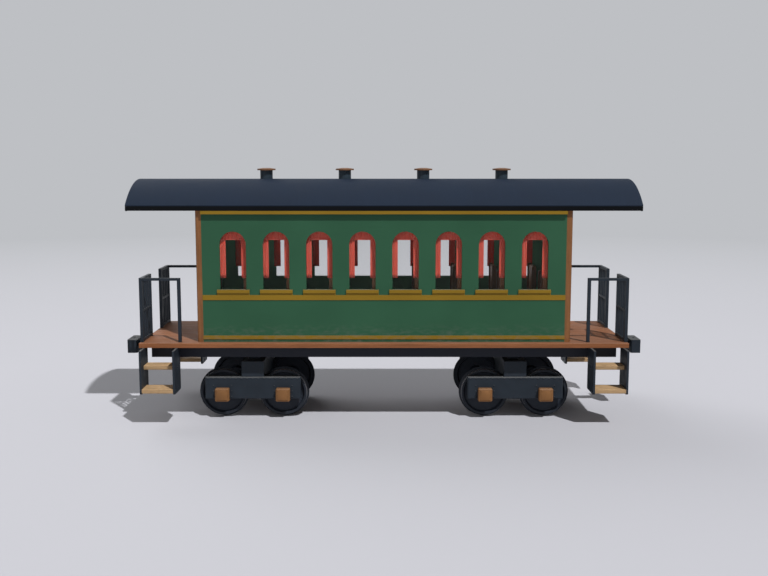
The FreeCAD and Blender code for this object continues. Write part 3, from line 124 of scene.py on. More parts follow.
class StudioSettings(PropertyGroup):
    floor: colour_of("Floor", seen(180, 180, 186), "Plain pale floor")
    backdrop: colour_of("Backdrop", seen(190, 192, 196), "What shows beyond the floor")
    key: FloatProperty(name="Key", description="Strength of the key lamp", default=3.5, min=0)
    fill: FloatProperty(name="Fill", description="Strength of the fill lamp", default=1.3, min=0)
    front: FloatProperty(name="Front", description="Strength of the low front lamp", default=0.28, min=0)
    sky: FloatProperty(name="Sky", description="Strength of the even light from all round", default=0.22, min=0)
    key_softness: FloatProperty(name="Key softness", description="Angle of the key lamp", subtype="ANGLE",
                                unit="ROTATION", default=math.radians(1.4))
    lens: FloatProperty(name="Lens", description="Focal length", subtype="DISTANCE_CAMERA", default=45.806)
    eye_back: length_of("Camera distance", 17.958, "Camera in front of the coach's middle")
    eye_height: length_of("Camera height", 4.5412, "Camera above the floor")
    eye_tilt: FloatProperty(name="Camera tilt", description="Downward tilt", subtype="ANGLE", unit="ROTATION",
                            default=math.radians(7.345))


# ---- finishes ----

class Graph:
    """A node tree that grows node by node."""

    def __init__(self, tree):
        self.tree = tree

    def node(self, kind, inputs=(), output=0, **settings):
        """Adds a node, sets it up, feeds its inputs and gives back one output."""
        made = self.tree.nodes.new(f"ShaderNode{kind}")
        for setting, value in settings.items():
            setattr(made, setting, value)
        for key, value in dict(inputs).items():
            if isinstance(value, bpy.types.NodeSocket):
                self.tree.links.new(value, made.inputs[key])
            elif made.inputs[key].type == "RGBA":
                made.inputs[key].default_value = (*value, 1)
            else:
                made.inputs[key].default_value = value
        return made.outputs[output]

    def math(self, operation, first, second=0.0):
        return self.node("Math", {0: first, 1: second}, operation=operation)

    def times(self, first, second):
        return self.math("MULTIPLY", first, second)


class Finish(Graph):
    """A finish being mixed: a material, its shader, and nodes that read the piece's own coordinates."""

    def __init__(self, name, roughness, metallic=0.0, gloss=0.2, sheen=0.0):
        self.material = bpy.data.materials.new(name)
        self.material.use_nodes = True
        super().__init__(self.material.node_tree)
        self.shader = self.tree.nodes["Principled BSDF"]
        for socket, value in (("Roughness", roughness), ("Metallic", metallic), ("Specular IOR Level", gloss),
                              ("Sheen Weight", sheen)):
            self.shader.inputs[socket].default_value = value
        self.place = self.node("TexCoord", output="Object")

    def feed(self, socket, value):
        """Lets a pattern drive one of the shader's own inputs."""
        self.tree.links.new(value, self.shader.inputs[socket])

    def noise(self, stretch, detail=3.0, distortion=0.0, place=None):
        """Cloudy noise from 0 to 1, with this many blotches to the metre, or one number for each axis."""
        if isinstance(stretch, float):
            stretch = (stretch,) * 3
        scaled = self.node("VectorMath", {0: place or self.place, 1: stretch}, operation="MULTIPLY")
        return self.node("TexNoise", {"Vector": scaled, "Scale": 1.0, "Detail": detail, "Distortion": distortion})

    def part(self, axis, of=None):
        """One coordinate of the place on the piece."""
        return self.node("SeparateXYZ", {0: of or self.place}, output=axis)

    def facing(self, axis):
        """One component of the surface's own normal."""
        return self.part(axis, self.node("TexCoord", output="Normal"))

    def ramp(self, value, low, high, start=0.0, end=1.0):
        return self.node("MapRange", {0: value, 1: low, 2: high, 3: start, 4: end}, clamp=True)

    def mix(self, amount, first, second):
        return self.node("Mix", {0: amount, 6: first, 7: second}, output=2, data_type="RGBA")

    def uneven(self, pattern, colour, darker, lighter, low=0.3, high=0.7):
        """A colour that wanders between two tones as a pattern does."""
        return self.mix(self.ramp(pattern, low, high), tinted(colour, darker), tinted(colour, lighter))

    def polish(self, value, low, high):
        """Roughness that follows a pattern."""
        self.feed("Roughness", self.ramp(value, 0.25, 0.75, low, high))

    def relief(self, height, depth, strength=1.0):
        """A bump of this depth in metres."""
        self.feed("Normal", self.node("Bump", {"Height": height, "Distance": depth, "Strength": strength}))


def tinted(colour, amount):
    """A lighter or darker tone of a colour."""
    return tuple(min(1.0, channel * amount) for channel in colour)


def painted_boards(name, colour, run=X, roughness=0.42, gloss=0.15, inner=None, across=Y):
    """Satin paint on planed boards: brush marks, cloudy fading, dust low down, a lighter tone indoors that stands
    in for light the cabin lacks, and painted light on up-facing faces.
    """
    finish = Finish(name, roughness, gloss=gloss)
    # heights at which the dust begins and is thickest
    dust_top, dust_foot = 1.75, 1.42
    fading = finish.noise(1.1)
    strokes = [170.0] * 3
    strokes[run] = 3.0
    brush = finish.noise(strokes, 2.0)
    tone = finish.uneven(fading, colour, 0.93, 1.07)
    tone = finish.mix(finish.ramp(brush, 0.35, 0.75, 0.0, 0.22), tone, tinted(colour, 0.8))
    # painted light: faces that look into the cabin take the lighter cabin green, which stands in for light the
    # cabin lacks
    if inner:
        indoors = finish.ramp(finish.times(finish.part(across), finish.facing(across)), -0.1, -0.3)
        tone = finish.mix(indoors, tone, finish.uneven(fading, inner, 0.93, 1.0))
    low_down = finish.ramp(finish.part(Z), dust_top, dust_foot)
    specks = finish.ramp(finish.noise((9.0, 9.0, 22.0), 4.0), 0.42, 0.8, 0.0, 0.4)
    greyed_share = finish.times(low_down, specks)
    # painted light: up-facing faces are mixed towards the dust grey, which lightens their tops; lower down the
    # grey is real dust
    dust_and_lit_tops = finish.math("MAXIMUM", greyed_share, finish.ramp(finish.facing(Z), 0.3, 0.9, 0.0, 0.35))
    finish.feed("Base Color", finish.mix(dust_and_lit_tops, tone, DUST_AND_TOP_LIGHT))
    finish.polish(fading, roughness - 0.06, roughness + 0.1)
    finish.relief(brush, 0.0004, 0.5)
    return finish.material


def grain(finish, colour, run, figure_size=34.0):
    """Wood figure and pores along one axis. Gives back the tone and the pores."""
    figure_stretch, pore_stretch = [figure_size] * 3, [figure_size * 9] * 3
    figure_stretch[run], pore_stretch[run] = 1.7, 14.0
    figure = finish.noise(figure_stretch, 4.0, 0.7)
    pores = finish.noise(pore_stretch, 2.0)
    tone = finish.uneven(figure, colour, 0.8, 1.15, 0.32, 0.68)
    return finish.mix(finish.ramp(pores, 0.5, 0.68, 0.0, 0.4), tone, tinted(colour, 0.5)), pores


def varnished_timber(name, colour, run, roughness=0.4):
    """Varnished wood with its grain along one axis."""
    finish = Finish(name, roughness)
    tone, pores = grain(finish, colour, run)
    finish.feed("Base Color", tone)
    finish.polish(finish.noise(5.0), roughness - 0.06, roughness + 0.12)
    finish.relief(pores, 0.0006, 0.5)
    return finish.material


def deck_planks(name, colour, width=0.122):
    """Oiled planks along the coach, each with a tone of its own, with dark joints between them, and dust on the
    tops that is also painted light.
    """
    finish = Finish(name, 0.6, gloss=0.1)
    tone, pores = grain(finish, colour, X)
    across = finish.math("DIVIDE", finish.math("ADD", finish.part(Y), width / 2), width)
    plank = finish.math("FLOOR", across)
    own = finish.node("TexWhiteNoise", {"W": plank}, noise_dimensions="1D")
    tone = finish.mix(finish.times(own, 0.35), tone, tinted(colour, 0.72))
    to_joint = finish.math("ABSOLUTE", finish.math("SUBTRACT", finish.math("FRACT", across), 0.5))
    joint = finish.times(finish.ramp(to_joint, 0.47, 0.49), finish.ramp(finish.facing(Z), 0.5, 0.8))
    # dust trodden onto the tops, and painted light: the grey makes the tops lighter than the edges
    trodden_and_lit_tops = finish.ramp(finish.noise((2.5, 6.0, 2.5), 4.0), 0.3, 0.75, 0.04, 0.22)
    tone = finish.mix(finish.times(trodden_and_lit_tops, finish.ramp(finish.facing(Z), 0.5, 0.8)), tone, DUST_AND_TOP_LIGHT)
    finish.feed("Base Color", finish.mix(joint, tone, tinted(colour, 0.22)))
    finish.polish(finish.noise((4.0, 9.0, 4.0)), 0.5, 0.7)
    finish.relief(finish.math("SUBTRACT", finish.times(pores, 0.1), joint), 0.003, 0.7)
    return finish.material


def worn_planks(name, colour):
    """Bare step planks, scuffed paler in patches on their tops."""
    finish = Finish(name, 0.62)
    tone, pores = grain(finish, colour, X, 26.0)
    scuffs = finish.times(finish.ramp(finish.facing(Z), 0.5, 0.9),
                         finish.ramp(finish.noise((7.0, 14.0, 7.0), 4.0), 0.38, 0.62, 0.0, 0.5))
    grime = finish.ramp(finish.noise(11.0, 5.0), 0.55, 0.75, 0.0, 0.45)
    tone = finish.mix(scuffs, tone, tinted(colour, 1.25))
    finish.feed("Base Color", finish.mix(grime, tone, tinted(colour, 0.55)))
    finish.polish(finish.noise(8.0), 0.5, 0.75)
    finish.relief(pores, 0.001, 0.7)
    return finish.material


def painted_iron(name, colour, roughness=0.5, cast=0.0008, rust=0.15, dust=0.3):
    """Paint over iron: the casting's fine texture, uneven gloss, dust grey on its up-facing ledges that is also
    painted light on their tops, and a few rust spots.
    """
    finish = Finish(name, roughness)
    skin = finish.noise(130.0, 3.0)
    patches = finish.noise(6.0, 4.0)
    tone = finish.uneven(patches, colour, 0.9, 1.1)
    # painted light: up-facing faces are mixed towards the dust grey, as dust and as light on their tops; dust sets
    # how much
    greyed_share = finish.times(finish.ramp(finish.facing(Z), 0.2, 0.7),
                        finish.ramp(patches, 0.3, 0.7, dust * 0.6, dust))
    tone = finish.mix(greyed_share, tone, DUST_AND_TOP_LIGHT)
    spots = finish.ramp(finish.noise(24.0, 6.0), 0.66, 0.74, 0.0, rust)
    finish.feed("Base Color", finish.mix(spots, tone, RUST))
    finish.polish(patches, roughness - 0.08, roughness + 0.14)
    finish.relief(skin, cast, 0.6)
    return finish.material


def roof_paint(name, colour, ceiling):
    """Painted roof with rain streaks down its slopes, over a ceiling of narrow cream boards."""
    finish = Finish(name, 0.7, gloss=0.08)
    boards_per_metre = 12.5
    streaks = finish.noise((16.0, 1.3, 2.0), 4.0)
    weather = finish.noise(1.5, 4.0)
    tone = finish.uneven(weather, colour, 0.92, 1.08)
    tone = finish.mix(finish.ramp(streaks, 0.5, 0.8, 0.0, 0.22), tone, tinted(colour, 1.3))
    boards = finish.math("FRACT", finish.times(finish.part(Y), boards_per_metre))
    seam = finish.ramp(finish.math("ABSOLUTE", finish.math("SUBTRACT", boards, 0.5)), 0.46, 0.49)
    cream = finish.mix(seam, ceiling, tinted(ceiling, 0.45))
    under = finish.ramp(finish.facing(Z), -0.1, -0.2)
    finish.feed("Base Color", finish.mix(under, tone, cream))
    finish.polish(weather, 0.64, 0.8)
    finish.relief(finish.math("SUBTRACT", finish.times(streaks, 0.3),
                              finish.times(seam, under)), 0.0015, 0.5)
    return finish.material


def wheel_iron(name, colour, steel, axle):
    """Dark cast iron with a tread that running has polished, in rings round the axle, and a painted shade on the
    rim outside the web.
    """
    # from the coach's middle to past the flange; from the axle to just inside the tread, and to the web's edge,
    # past which the rim is painted darker as shade
    past_flange, near_tread, rim_shade_from = (0.700, 0.712), (0.398, 0.404), (0.36, 0.37)
    finish = Finish(name, 0.5)
    from_axle = finish.node("VectorMath", {0: finish.place, 1: axle}, operation="SUBTRACT")
    flat = finish.node("VectorMath", {0: from_axle, 1: (1.0, 0.0, 1.0)}, operation="MULTIPLY")
    radius = finish.node("VectorMath", {0: flat}, output="Value", operation="LENGTH")
    outer = finish.ramp(finish.math("ABSOLUTE", finish.part(Y)), *past_flange)
    facing_out = finish.ramp(finish.math("ABSOLUTE", finish.facing(Y)), 0.5, 0.3)
    tread = finish.times(finish.times(outer, facing_out), finish.ramp(radius, *near_tread))
    patches = finish.noise(9.0, 5.0)
    tone = finish.uneven(patches, colour, 0.88, 1.12)
    tone = finish.mix(finish.ramp(patches, 0.62, 0.78, 0.0, 0.2), tone, RUST)
    # painted shade: the rim's face outside the web is darker, to even out the light that falls on it
    tone = finish.mix(finish.ramp(radius, *rim_shade_from), tone, tinted(colour, 0.72))
    finish.feed("Base Color", finish.mix(tread, tone, steel))
    finish.feed("Metallic", finish.ramp(tread, 0.0, 1.0, 0.0, 0.2))
    finish.feed("Roughness", finish.ramp(tread, 0.0, 1.0, 0.55, 0.38))
    finish.relief(finish.noise(110.0), 0.0012, 0.5)
    return finish.material


def bright_metal(name, colour, roughness, rings=(4.0, 260.0, 4.0)):
    """Turned or polished metal with fine tool marks and a little tarnish."""
    finish = Finish(name, roughness, metallic=1.0)
    marks = finish.noise(rings, 2.0)
    tarnish = finish.noise(14.0, 4.0)
    dulled = finish.ramp(tarnish, 0.45, 0.75, 0.0, 0.55)
    finish.feed("Base Color", finish.mix(dulled, colour, tinted(colour, 0.45)))
    finish.polish(tarnish, roughness - 0.06, roughness + 0.16)
    finish.relief(marks, 0.0003, 0.4)
    return finish.material


def clear_glass(name):
    """A thin clear pane that lets the lamps through, with a film of dust."""
    finish = Finish(name, 0.06, gloss=0.8)
    film = finish.noise(3.0, 4.0)
    finish.feed("Base Color", finish.mix(finish.ramp(film, 0.4, 0.8), seen(58, 68, 66), seen(84, 88, 84)))
    finish.shader.inputs["Alpha"].default_value = 0.05
    finish.polish(film, 0.03, 0.12)
    return finish.material


def woven_cloth(name, colour):
    """Plain-woven curtain cloth: crossing threads that follow the cut, slubs, and a stitched hem."""
    finish = Finish(name, 0.85, gloss=0.1, sheen=0.1)
    for socket, value in (("Subsurface Weight", 0.6), ("Subsurface Radius", (1.0, 0.45, 0.35)),
                          ("Subsurface Scale", 0.004)):
        finish.shader.inputs[socket].default_value = value
    cut = finish.node("UVMap", uv_map="cut")
    across, along = finish.part(X, cut), finish.part(Y, cut)
    fineness, stitch_line = 2400.0, 0.026
    warp, weft = (finish.math("SINE", finish.times(way, fineness)) for way in (across, along))
    threads = finish.times(warp, weft)
    slubs = finish.noise((45.0, 500.0, 1.0), 3.0, place=cut)
    fading = finish.noise((3.0, 1.2, 3.0), 2.0)
    tone = finish.uneven(fading, colour, 0.92, 1.06)
    tone = finish.mix(finish.ramp(threads, -1.0, 1.0, 0.0, 0.16), tone, tinted(colour, 0.6))
    tone = finish.mix(finish.ramp(slubs, 0.52, 0.75, 0.0, 0.28), tone, tinted(colour, 1.3))
    from_stitch = finish.math("ABSOLUTE", finish.math("SUBTRACT", along, stitch_line))
    hem = finish.ramp(from_stitch, 0.0022, 0.0012, 0.0, 0.6)
    finish.feed("Base Color", finish.mix(hem, tone, tinted(colour, 0.45)))
    finish.relief(finish.math("SUBTRACT", threads, hem), 0.0004, 0.6)
    return finish.material


def hide(name, colour, roughness=0.45):
    """Leather: pebbled skin, darker in its creases, with worn patches lighter and darker than the rest."""
    finish = Finish(name, roughness)
    pebbles = finish.node("TexVoronoi", {"Vector": finish.place, "Scale": 260.0}, feature="DISTANCE_TO_EDGE")
    creases = finish.ramp(pebbles, 0.0, 0.12, 1.0, 0.0)
    wear = finish.noise(5.0, 5.0)
    tone = finish.uneven(wear, colour, 0.8, 1.2, 0.35)
    finish.feed("Base Color", finish.mix(finish.ramp(creases, 0.0, 1.0, 0.0, 0.5), tone, tinted(colour, 0.45)))
    finish.polish(wear, roughness - 0.08, roughness + 0.12)
    finish.relief(finish.times(creases, -1.0), 0.0006, 0.6)
    return finish.material


def coat(piece, *materials):
    """Puts these finishes, and no others, on a piece."""
    piece.data.materials.clear()
    for material in materials:
        piece.data.materials.append(material)


def give(material, *names):
    """Puts one finish on CAD nodes."""
    for name in names:
        coat(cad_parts[name], material)


def at_ends(*names):
    """The front and rear nodes of these names."""
    return [f"{name}_{end}" for name in names for end, _ in ENDS]


# ---- modelling by hand ----

def leave_edit():
    if bpy.context.mode != "OBJECT":
        bpy.ops.object.mode_set(mode="OBJECT")


def clear_selection():
    leave_edit()
    bpy.ops.object.select_all(action="DESELECT")


def only(piece):
    """Selects just this piece."""
    clear_selection()
    piece.select_set(True)
    bpy.context.view_layer.objects.active = piece


def take(name):
    """Names the piece just added and puts its place and size into its mesh."""
    piece = bpy.context.active_object
    piece.name = piece.data.name = name
    bpy.ops.object.transform_apply(location=True, rotation=True, scale=True)
    return piece


def block(name, low, high):
    """A box between two corners, to be shaped."""
    low, high = Vector(low), Vector(high)
    clear_selection()
    bpy.ops.mesh.primitive_cube_add(size=1, location=(low + high) / 2, scale=high - low)
    return take(name)


def rod(name, middle, radius, length, axis, sides=12):
    """A round bar along one axis, to be shaped."""
    turns = {X: (0, math.pi / 2, 0), Y: (math.pi / 2, 0, 0), Z: (0, 0, 0)}
    clear_selection()
    bpy.ops.mesh.primitive_cylinder_add(vertices=sides, radius=radius, depth=length, location=middle,
                                        rotation=turns[axis])
    return take(name)


def pick(piece, wanted, kind="FACE"):
    """Goes into edit mode with only the faces, edges or vertices that pass the test selected."""
    only(piece)
    bpy.ops.object.mode_set(mode="EDIT")
    bpy.ops.mesh.select_mode(type=kind)
    bpy.ops.mesh.select_all(action="DESELECT")
    mesh = bmesh.from_edit_mesh(piece.data)
    parts = {"FACE": mesh.faces, "EDGE": mesh.edges, "VERT": mesh.verts}[kind]
    parts.ensure_lookup_table()
    for part in parts:
        part.select_set(wanted(part))
    mesh.select_flush_mode()
    bmesh.update_edit_mesh(piece.data)


def faces_towards(piece, direction):
    pick(piece, lambda face: face.normal.dot(Vector(direction)) > 0.9)


def edges_along(piece, axis):
    def runs(edge):
        line = (edge.verts[1].co - edge.verts[0].co).normalized()
        return abs(line[axis]) > 0.99
    pick(piece, runs, "EDGE")


def smooth(piece, degrees=35):
    only(piece)
    bpy.ops.object.shade_smooth_by_angle(angle=math.radians(degrees))


def edit_all(piece):
    """Goes into edit mode with the whole piece selected."""
    only(piece)
    bpy.ops.object.mode_set(mode="EDIT")
    bpy.ops.mesh.select_all(action="SELECT")


def face_outwards(piece):
    edit_all(piece)
    bpy.ops.mesh.normals_make_consistent(inside=False)
    leave_edit()


def copy_of(piece, name, move):
    """A copy with its own mesh, moved by a matrix."""
    twin = piece.copy()
    twin.data = piece.data.copy()
    twin.name = twin.data.name = name
    twin.data.transform(move)
    if move.determinant() < 0:
        twin.data.flip_normals()
    bpy.context.scene.collection.objects.link(twin)
    return twin


def joined(name, pieces):
    """Makes one piece of several."""
    only(pieces[0])
    for piece in pieces:
        piece.select_set(True)
    bpy.ops.object.join()
    whole = bpy.context.active_object
    whole.name = whole.data.name = name
    return whole


def finished(piece, body, slot, *materials):
    """Gives a new piece its finish and lets it ride on its body."""
    if materials:
        coat(piece, *materials)
    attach(piece, body)


def rivet_head(radius):
    """A low domed head that stands on the XY plane."""
    height = radius * 0.45
    head = rod("rivet_head", (0, 0, height / 2), radius, height, Z, 10)
    faces_towards(head, (0, 0, 1))
    bpy.ops.mesh.inset(thickness=radius * 0.4, depth=height * 0.55)
    smooth(head, 80)
    return head


def throw_away(piece):
    bpy.data.objects.remove(piece)


def row_of_heads(name, radius, places):
    """Heads, each at its place and facing its own way, as one piece."""
    head, heads = rivet_head(radius), []
    for number, (place, direction) in enumerate(places):
        turn = Vector((0, 0, 1)).rotation_difference(Vector(direction)).to_matrix().to_4x4()
        heads.append(copy_of(head, f"{name}_{number}", Matrix.Translation(place) @ turn))
    throw_away(head)
    return joined(name, heads)


def window_middles(sizes):
    """Where the windows are along the coach."""
    return [(number - (sizes.window_count - 1) / 2) * sizes.window_pitch for number in range(sizes.window_count)]


def middle_of(name, axis):
    """The middle of a CAD node along one axis."""
    low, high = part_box(name)
    return (low[axis] + high[axis]) / 2


def bogie_places():
    """Each bogie's name, its body and its middle along the coach."""
    for end, _ in ENDS:
        yield end, f"{end}_bogie", middle_of(f"bogie_frame_{end}", X)


def between_axles():
    """From axle to axle of one bogie."""
    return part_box("wheels_1")[0][X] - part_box("wheels_2")[0][X]


# ---- the coach's own operators ----

def sizes_and_colours(context):
    return context.scene.coach_sizes, context.scene.coach_colours


class COACH_OT_finish_body(Operator):
    """Paint the walls, bulkheads and trim, and varnish the posts, doors and deck"""
    bl_idname = "coach.finish_body"
    bl_label = "Finish the body"

    def execute(self, context):
        colours = context.scene.coach_colours
        give(painted_boards("body_green", colours.body, inner=colours.cabin), "wall_left", "wall_right")
        give(painted_boards("bulkhead_green", colours.body, inner=colours.cabin, across=X), *at_ends("bulkhead"))
        give(painted_boards("gold_trim", colours.trim, roughness=0.38), "mouldings", "window_sills")
        give(varnished_timber("post_brown", colours.post, Z), "corner_posts")
        give(varnished_timber("door_brown", colours.post, Z), *at_ends("door", "door_frame"))
        give(painted_boards("edge_black", colours.edge, gloss=0.08), "roof_edge")
        give(deck_planks("deck_planks", colours.deck), "deck")
        return {"FINISHED"}


class COACH_OT_finish_roof(Operator):
    """Paint the roof, its ceiling and the ventilators"""
    bl_idname = "coach.finish_roof"
    bl_label = "Finish the roof"

    def execute(self, context):
        colours = context.scene.coach_colours
        give(roof_paint("roof_slate", colours.roof, colours.ceiling), "roof")
        give(painted_iron("vent_paint", colours.vent, dust=0.1), "vent_tubes")
        give(painted_iron("vent_cap_brown", colours.vent_cap, dust=0.1), "vent_caps")
        return {"FINISHED"}


class COACH_OT_finish_cabin(Operator):
    """Glaze the windows, polish the curtain rails and varnish the benches"""
    bl_idname = "coach.finish_cabin"
    bl_label = "Finish the cabin"

    def execute(self, context):
        colours = context.scene.coach_colours
        give(clear_glass("window_glass"), "window_glass", *at_ends("door_glass"))
        give(bright_metal("brass", colours.brass, 0.24, (260.0, 4.0, 4.0)), "curtain_rails")
        give(varnished_timber("bench_wood", colours.bench, Z), "bench_frames")
        return {"FINISHED"}


class COACH_OT_finish_platforms(Operator):
    """Paint the railings, step plates and couplers, and leave the treads bare"""
    bl_idname = "coach.finish_platforms"
    bl_label = "Finish the platforms"

    def execute(self, context):
        colours = context.scene.coach_colours
        give(painted_iron("railing_slate", colours.iron, dust=0.1), "side_rails", *at_ends("railing"))
        give(painted_iron("step_iron", colours.iron, rust=0.3), "step_plates")
        give(painted_iron("coupler_iron", colours.iron, 0.55, 0.002, 0.4), *at_ends("coupler"))
        give(worn_planks("step_wood", colours.tread), "step_treads")
        return {"FINISHED"}


class COACH_OT_finish_running_gear(Operator):
    """Paint the underframe, bogies and axle boxes, and leave the treads and axles bright"""
    bl_idname = "coach.finish_running_gear"
    bl_label = "Finish the running gear"

    def execute(self, context):
        colours = context.scene.coach_colours
        give(painted_iron("underframe_paint", colours.underframe), "underframe")
        give(painted_iron("bogie_paint", colours.iron, cast=0.0015), *at_ends("bogie_frame"))
        give(painted_iron("axle_box_brown", colours.axle_box, 0.5, 0.0018, 0.2, 0.12), *at_ends("axle_boxes"))
        give(bright_metal("axle_steel", colours.steel, 0.36), *(f"axle_{number}" for number in range(1, 5)))
        for number in range(1, 5):
            node = f"wheels_{number}"
            axle = (middle_of(node, X), 0.0, middle_of(node, Z))
            give(wheel_iron(f"wheel_iron_{number}", colours.wheel, colours.steel, axle), node)
        return {"FINISHED"}


def hang_cloth(name, near, far, low, high, out, pleat, phase):
    """A pleated length of cloth between two edges, gathered tighter at its top, with a cut of its own."""
    folds = max(3, round((far - near) / pleat))
    clear_selection()
    bpy.ops.mesh.primitive_grid_add(x_subdivisions=folds * 8, y_subdivisions=12, size=1, calc_uvs=True)
    cloth = take(name)
    depth, edge_ripple, hem_ripple, height = 0.0052, 0.0016, 0.0012, high - low
    # folds that wander, swell towards the hem and ripple along the edges, each length by its own phase
    for vertex in cloth.data.vertices:
        across, up = vertex.co.x + 0.5, vertex.co.y + 0.5
        drop = 1 - up
        turn = 2 * math.pi * folds * across + phase
        sway = 0.3 * math.sin(2.1 * math.pi * across + phase) + 0.12 * math.sin(9 * drop + phase)
        swell = (0.62 + 0.38 * drop) * (0.86 + 0.14 * math.sin(5.3 * across + 2 * phase))
        edge = math.sin(math.pi * across) * edge_ripple * math.sin(7 * drop + phase)
        vertex.co = (
            near + across * (far - near) + edge,
            out + depth * swell * math.sin(turn + sway),
            low + up * height + hem_ripple * math.sin(turn + 1) * drop,
        )
    area = sum(face.area for face in cloth.data.polygons)
    flat = (area / height, height)
    cut = cloth.data.uv_layers.active
    cut.name = "cut"
    for corner in cut.data:
        corner.uv = (corner.uv[0] * flat[0], corner.uv[1] * flat[1])
    only(cloth)
    thicken = cloth.modifiers.new("thickness", "SOLIDIFY")
    thicken.thickness, thicken.offset = 0.0016, 0
    bpy.ops.object.modifier_apply(modifier="thickness")
    bpy.ops.object.shade_smooth()
    return cloth, flat


class COACH_OT_hang_curtains(Operator):
    """Hang a valance and two side curtains at every window"""
    bl_idname = "coach.hang_curtains"
    bl_label = "Hang the curtains"

    def execute(self, context):
        sizes, colours = sizes_and_colours(context)
        cloth_finish = woven_cloth("curtain_cloth", colours.cloth)
        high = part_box("curtains")[1]
        gap, layer, clear = 0.001, 0.0154, 0.0003
        top = high[Z] - gap
        inner, outer = sizes.curtain_inner, sizes.curtain_outer
        # part of the window's cloth, its two edges from the middle, its hem, its layer behind the wall
        parts = (
            ("valance", -outer, outer, sizes.valance_bottom, 0.5),
            ("curtain_a", -outer, -inner, sizes.curtain_bottom, 1.5),
            ("curtain_b", inner, outer, sizes.curtain_bottom, 1.5),
        )
        for side_name, side in SIDES:
            for number, middle in enumerate(window_middles(sizes), start=1):
                for step, (part, near, far, hem, behind) in enumerate(parts):
                    out = side * (high[Y] - behind * layer - clear)
                    phase = 1.7 * number + 2.3 * step + side
                    cloth, flat = hang_cloth(f"{part}_{side_name}_{number}", middle + near, middle + far,
                                             hem, top, out, sizes.pleat, phase)
                    finished(cloth, "coach", "curtain_cloth", cloth_finish)
                    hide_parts("curtains")
        return {"FINISHED"}


def even_block(name, low, high, cell):
    """A box cut into even cells by planes across it."""
    piece = block(name, low, high)
    for axis in (X, Y, Z):
        normal = Vector((0, 0, 0))
        normal[axis] = 1
        count = max(2, round((high[axis] - low[axis]) / cell))
        for step in range(1, count):
            spot = Vector(low)
            spot[axis] = low[axis] + (high[axis] - low[axis]) * step / count
            edit_all(piece)
            bpy.ops.mesh.bisect(plane_co=spot, plane_no=normal)
            leave_edit()
    return piece


def inflate(piece, room, held, cap):
    """Blows a piece up as cloth round its held points, then keeps it near its shape and inside its room."""
    moments = 20
    before = [vertex.co.copy() for vertex in piece.data.vertices]
    pins = piece.vertex_groups.new(name="held")
    pins.add(held, 1.0, "REPLACE")
    only(piece)
    cloth = piece.modifiers.new("stuffing", "CLOTH")
    cloth.settings.quality = 5
    cloth.settings.mass = 0.3
    cloth.settings.tension_stiffness = cloth.settings.compression_stiffness = 25
    cloth.settings.bending_stiffness = 1.5
    cloth.settings.use_pressure = True
    cloth.settings.uniform_pressure_force = 4.0
    cloth.settings.vertex_group_mass = "held"
    cloth.settings.effector_weights.gravity = 0
    cloth.point_cache.frame_start, cloth.point_cache.frame_end = 1, moments
    for moment in range(1, moments + 1):
        bpy.context.scene.frame_set(moment)
    bpy.ops.object.modifier_apply(modifier="stuffing")
    bpy.context.scene.frame_set(1)
    low, high = room
    for vertex, start in zip(piece.data.vertices, before):
        move = vertex.co - start
        if move.length > cap:
            vertex.co = start + move.normalized() * cap
        vertex.co = [min(max(vertex.co[axis], low[axis]), high[axis]) for axis in (X, Y, Z)]
    piece.vertex_groups.clear()


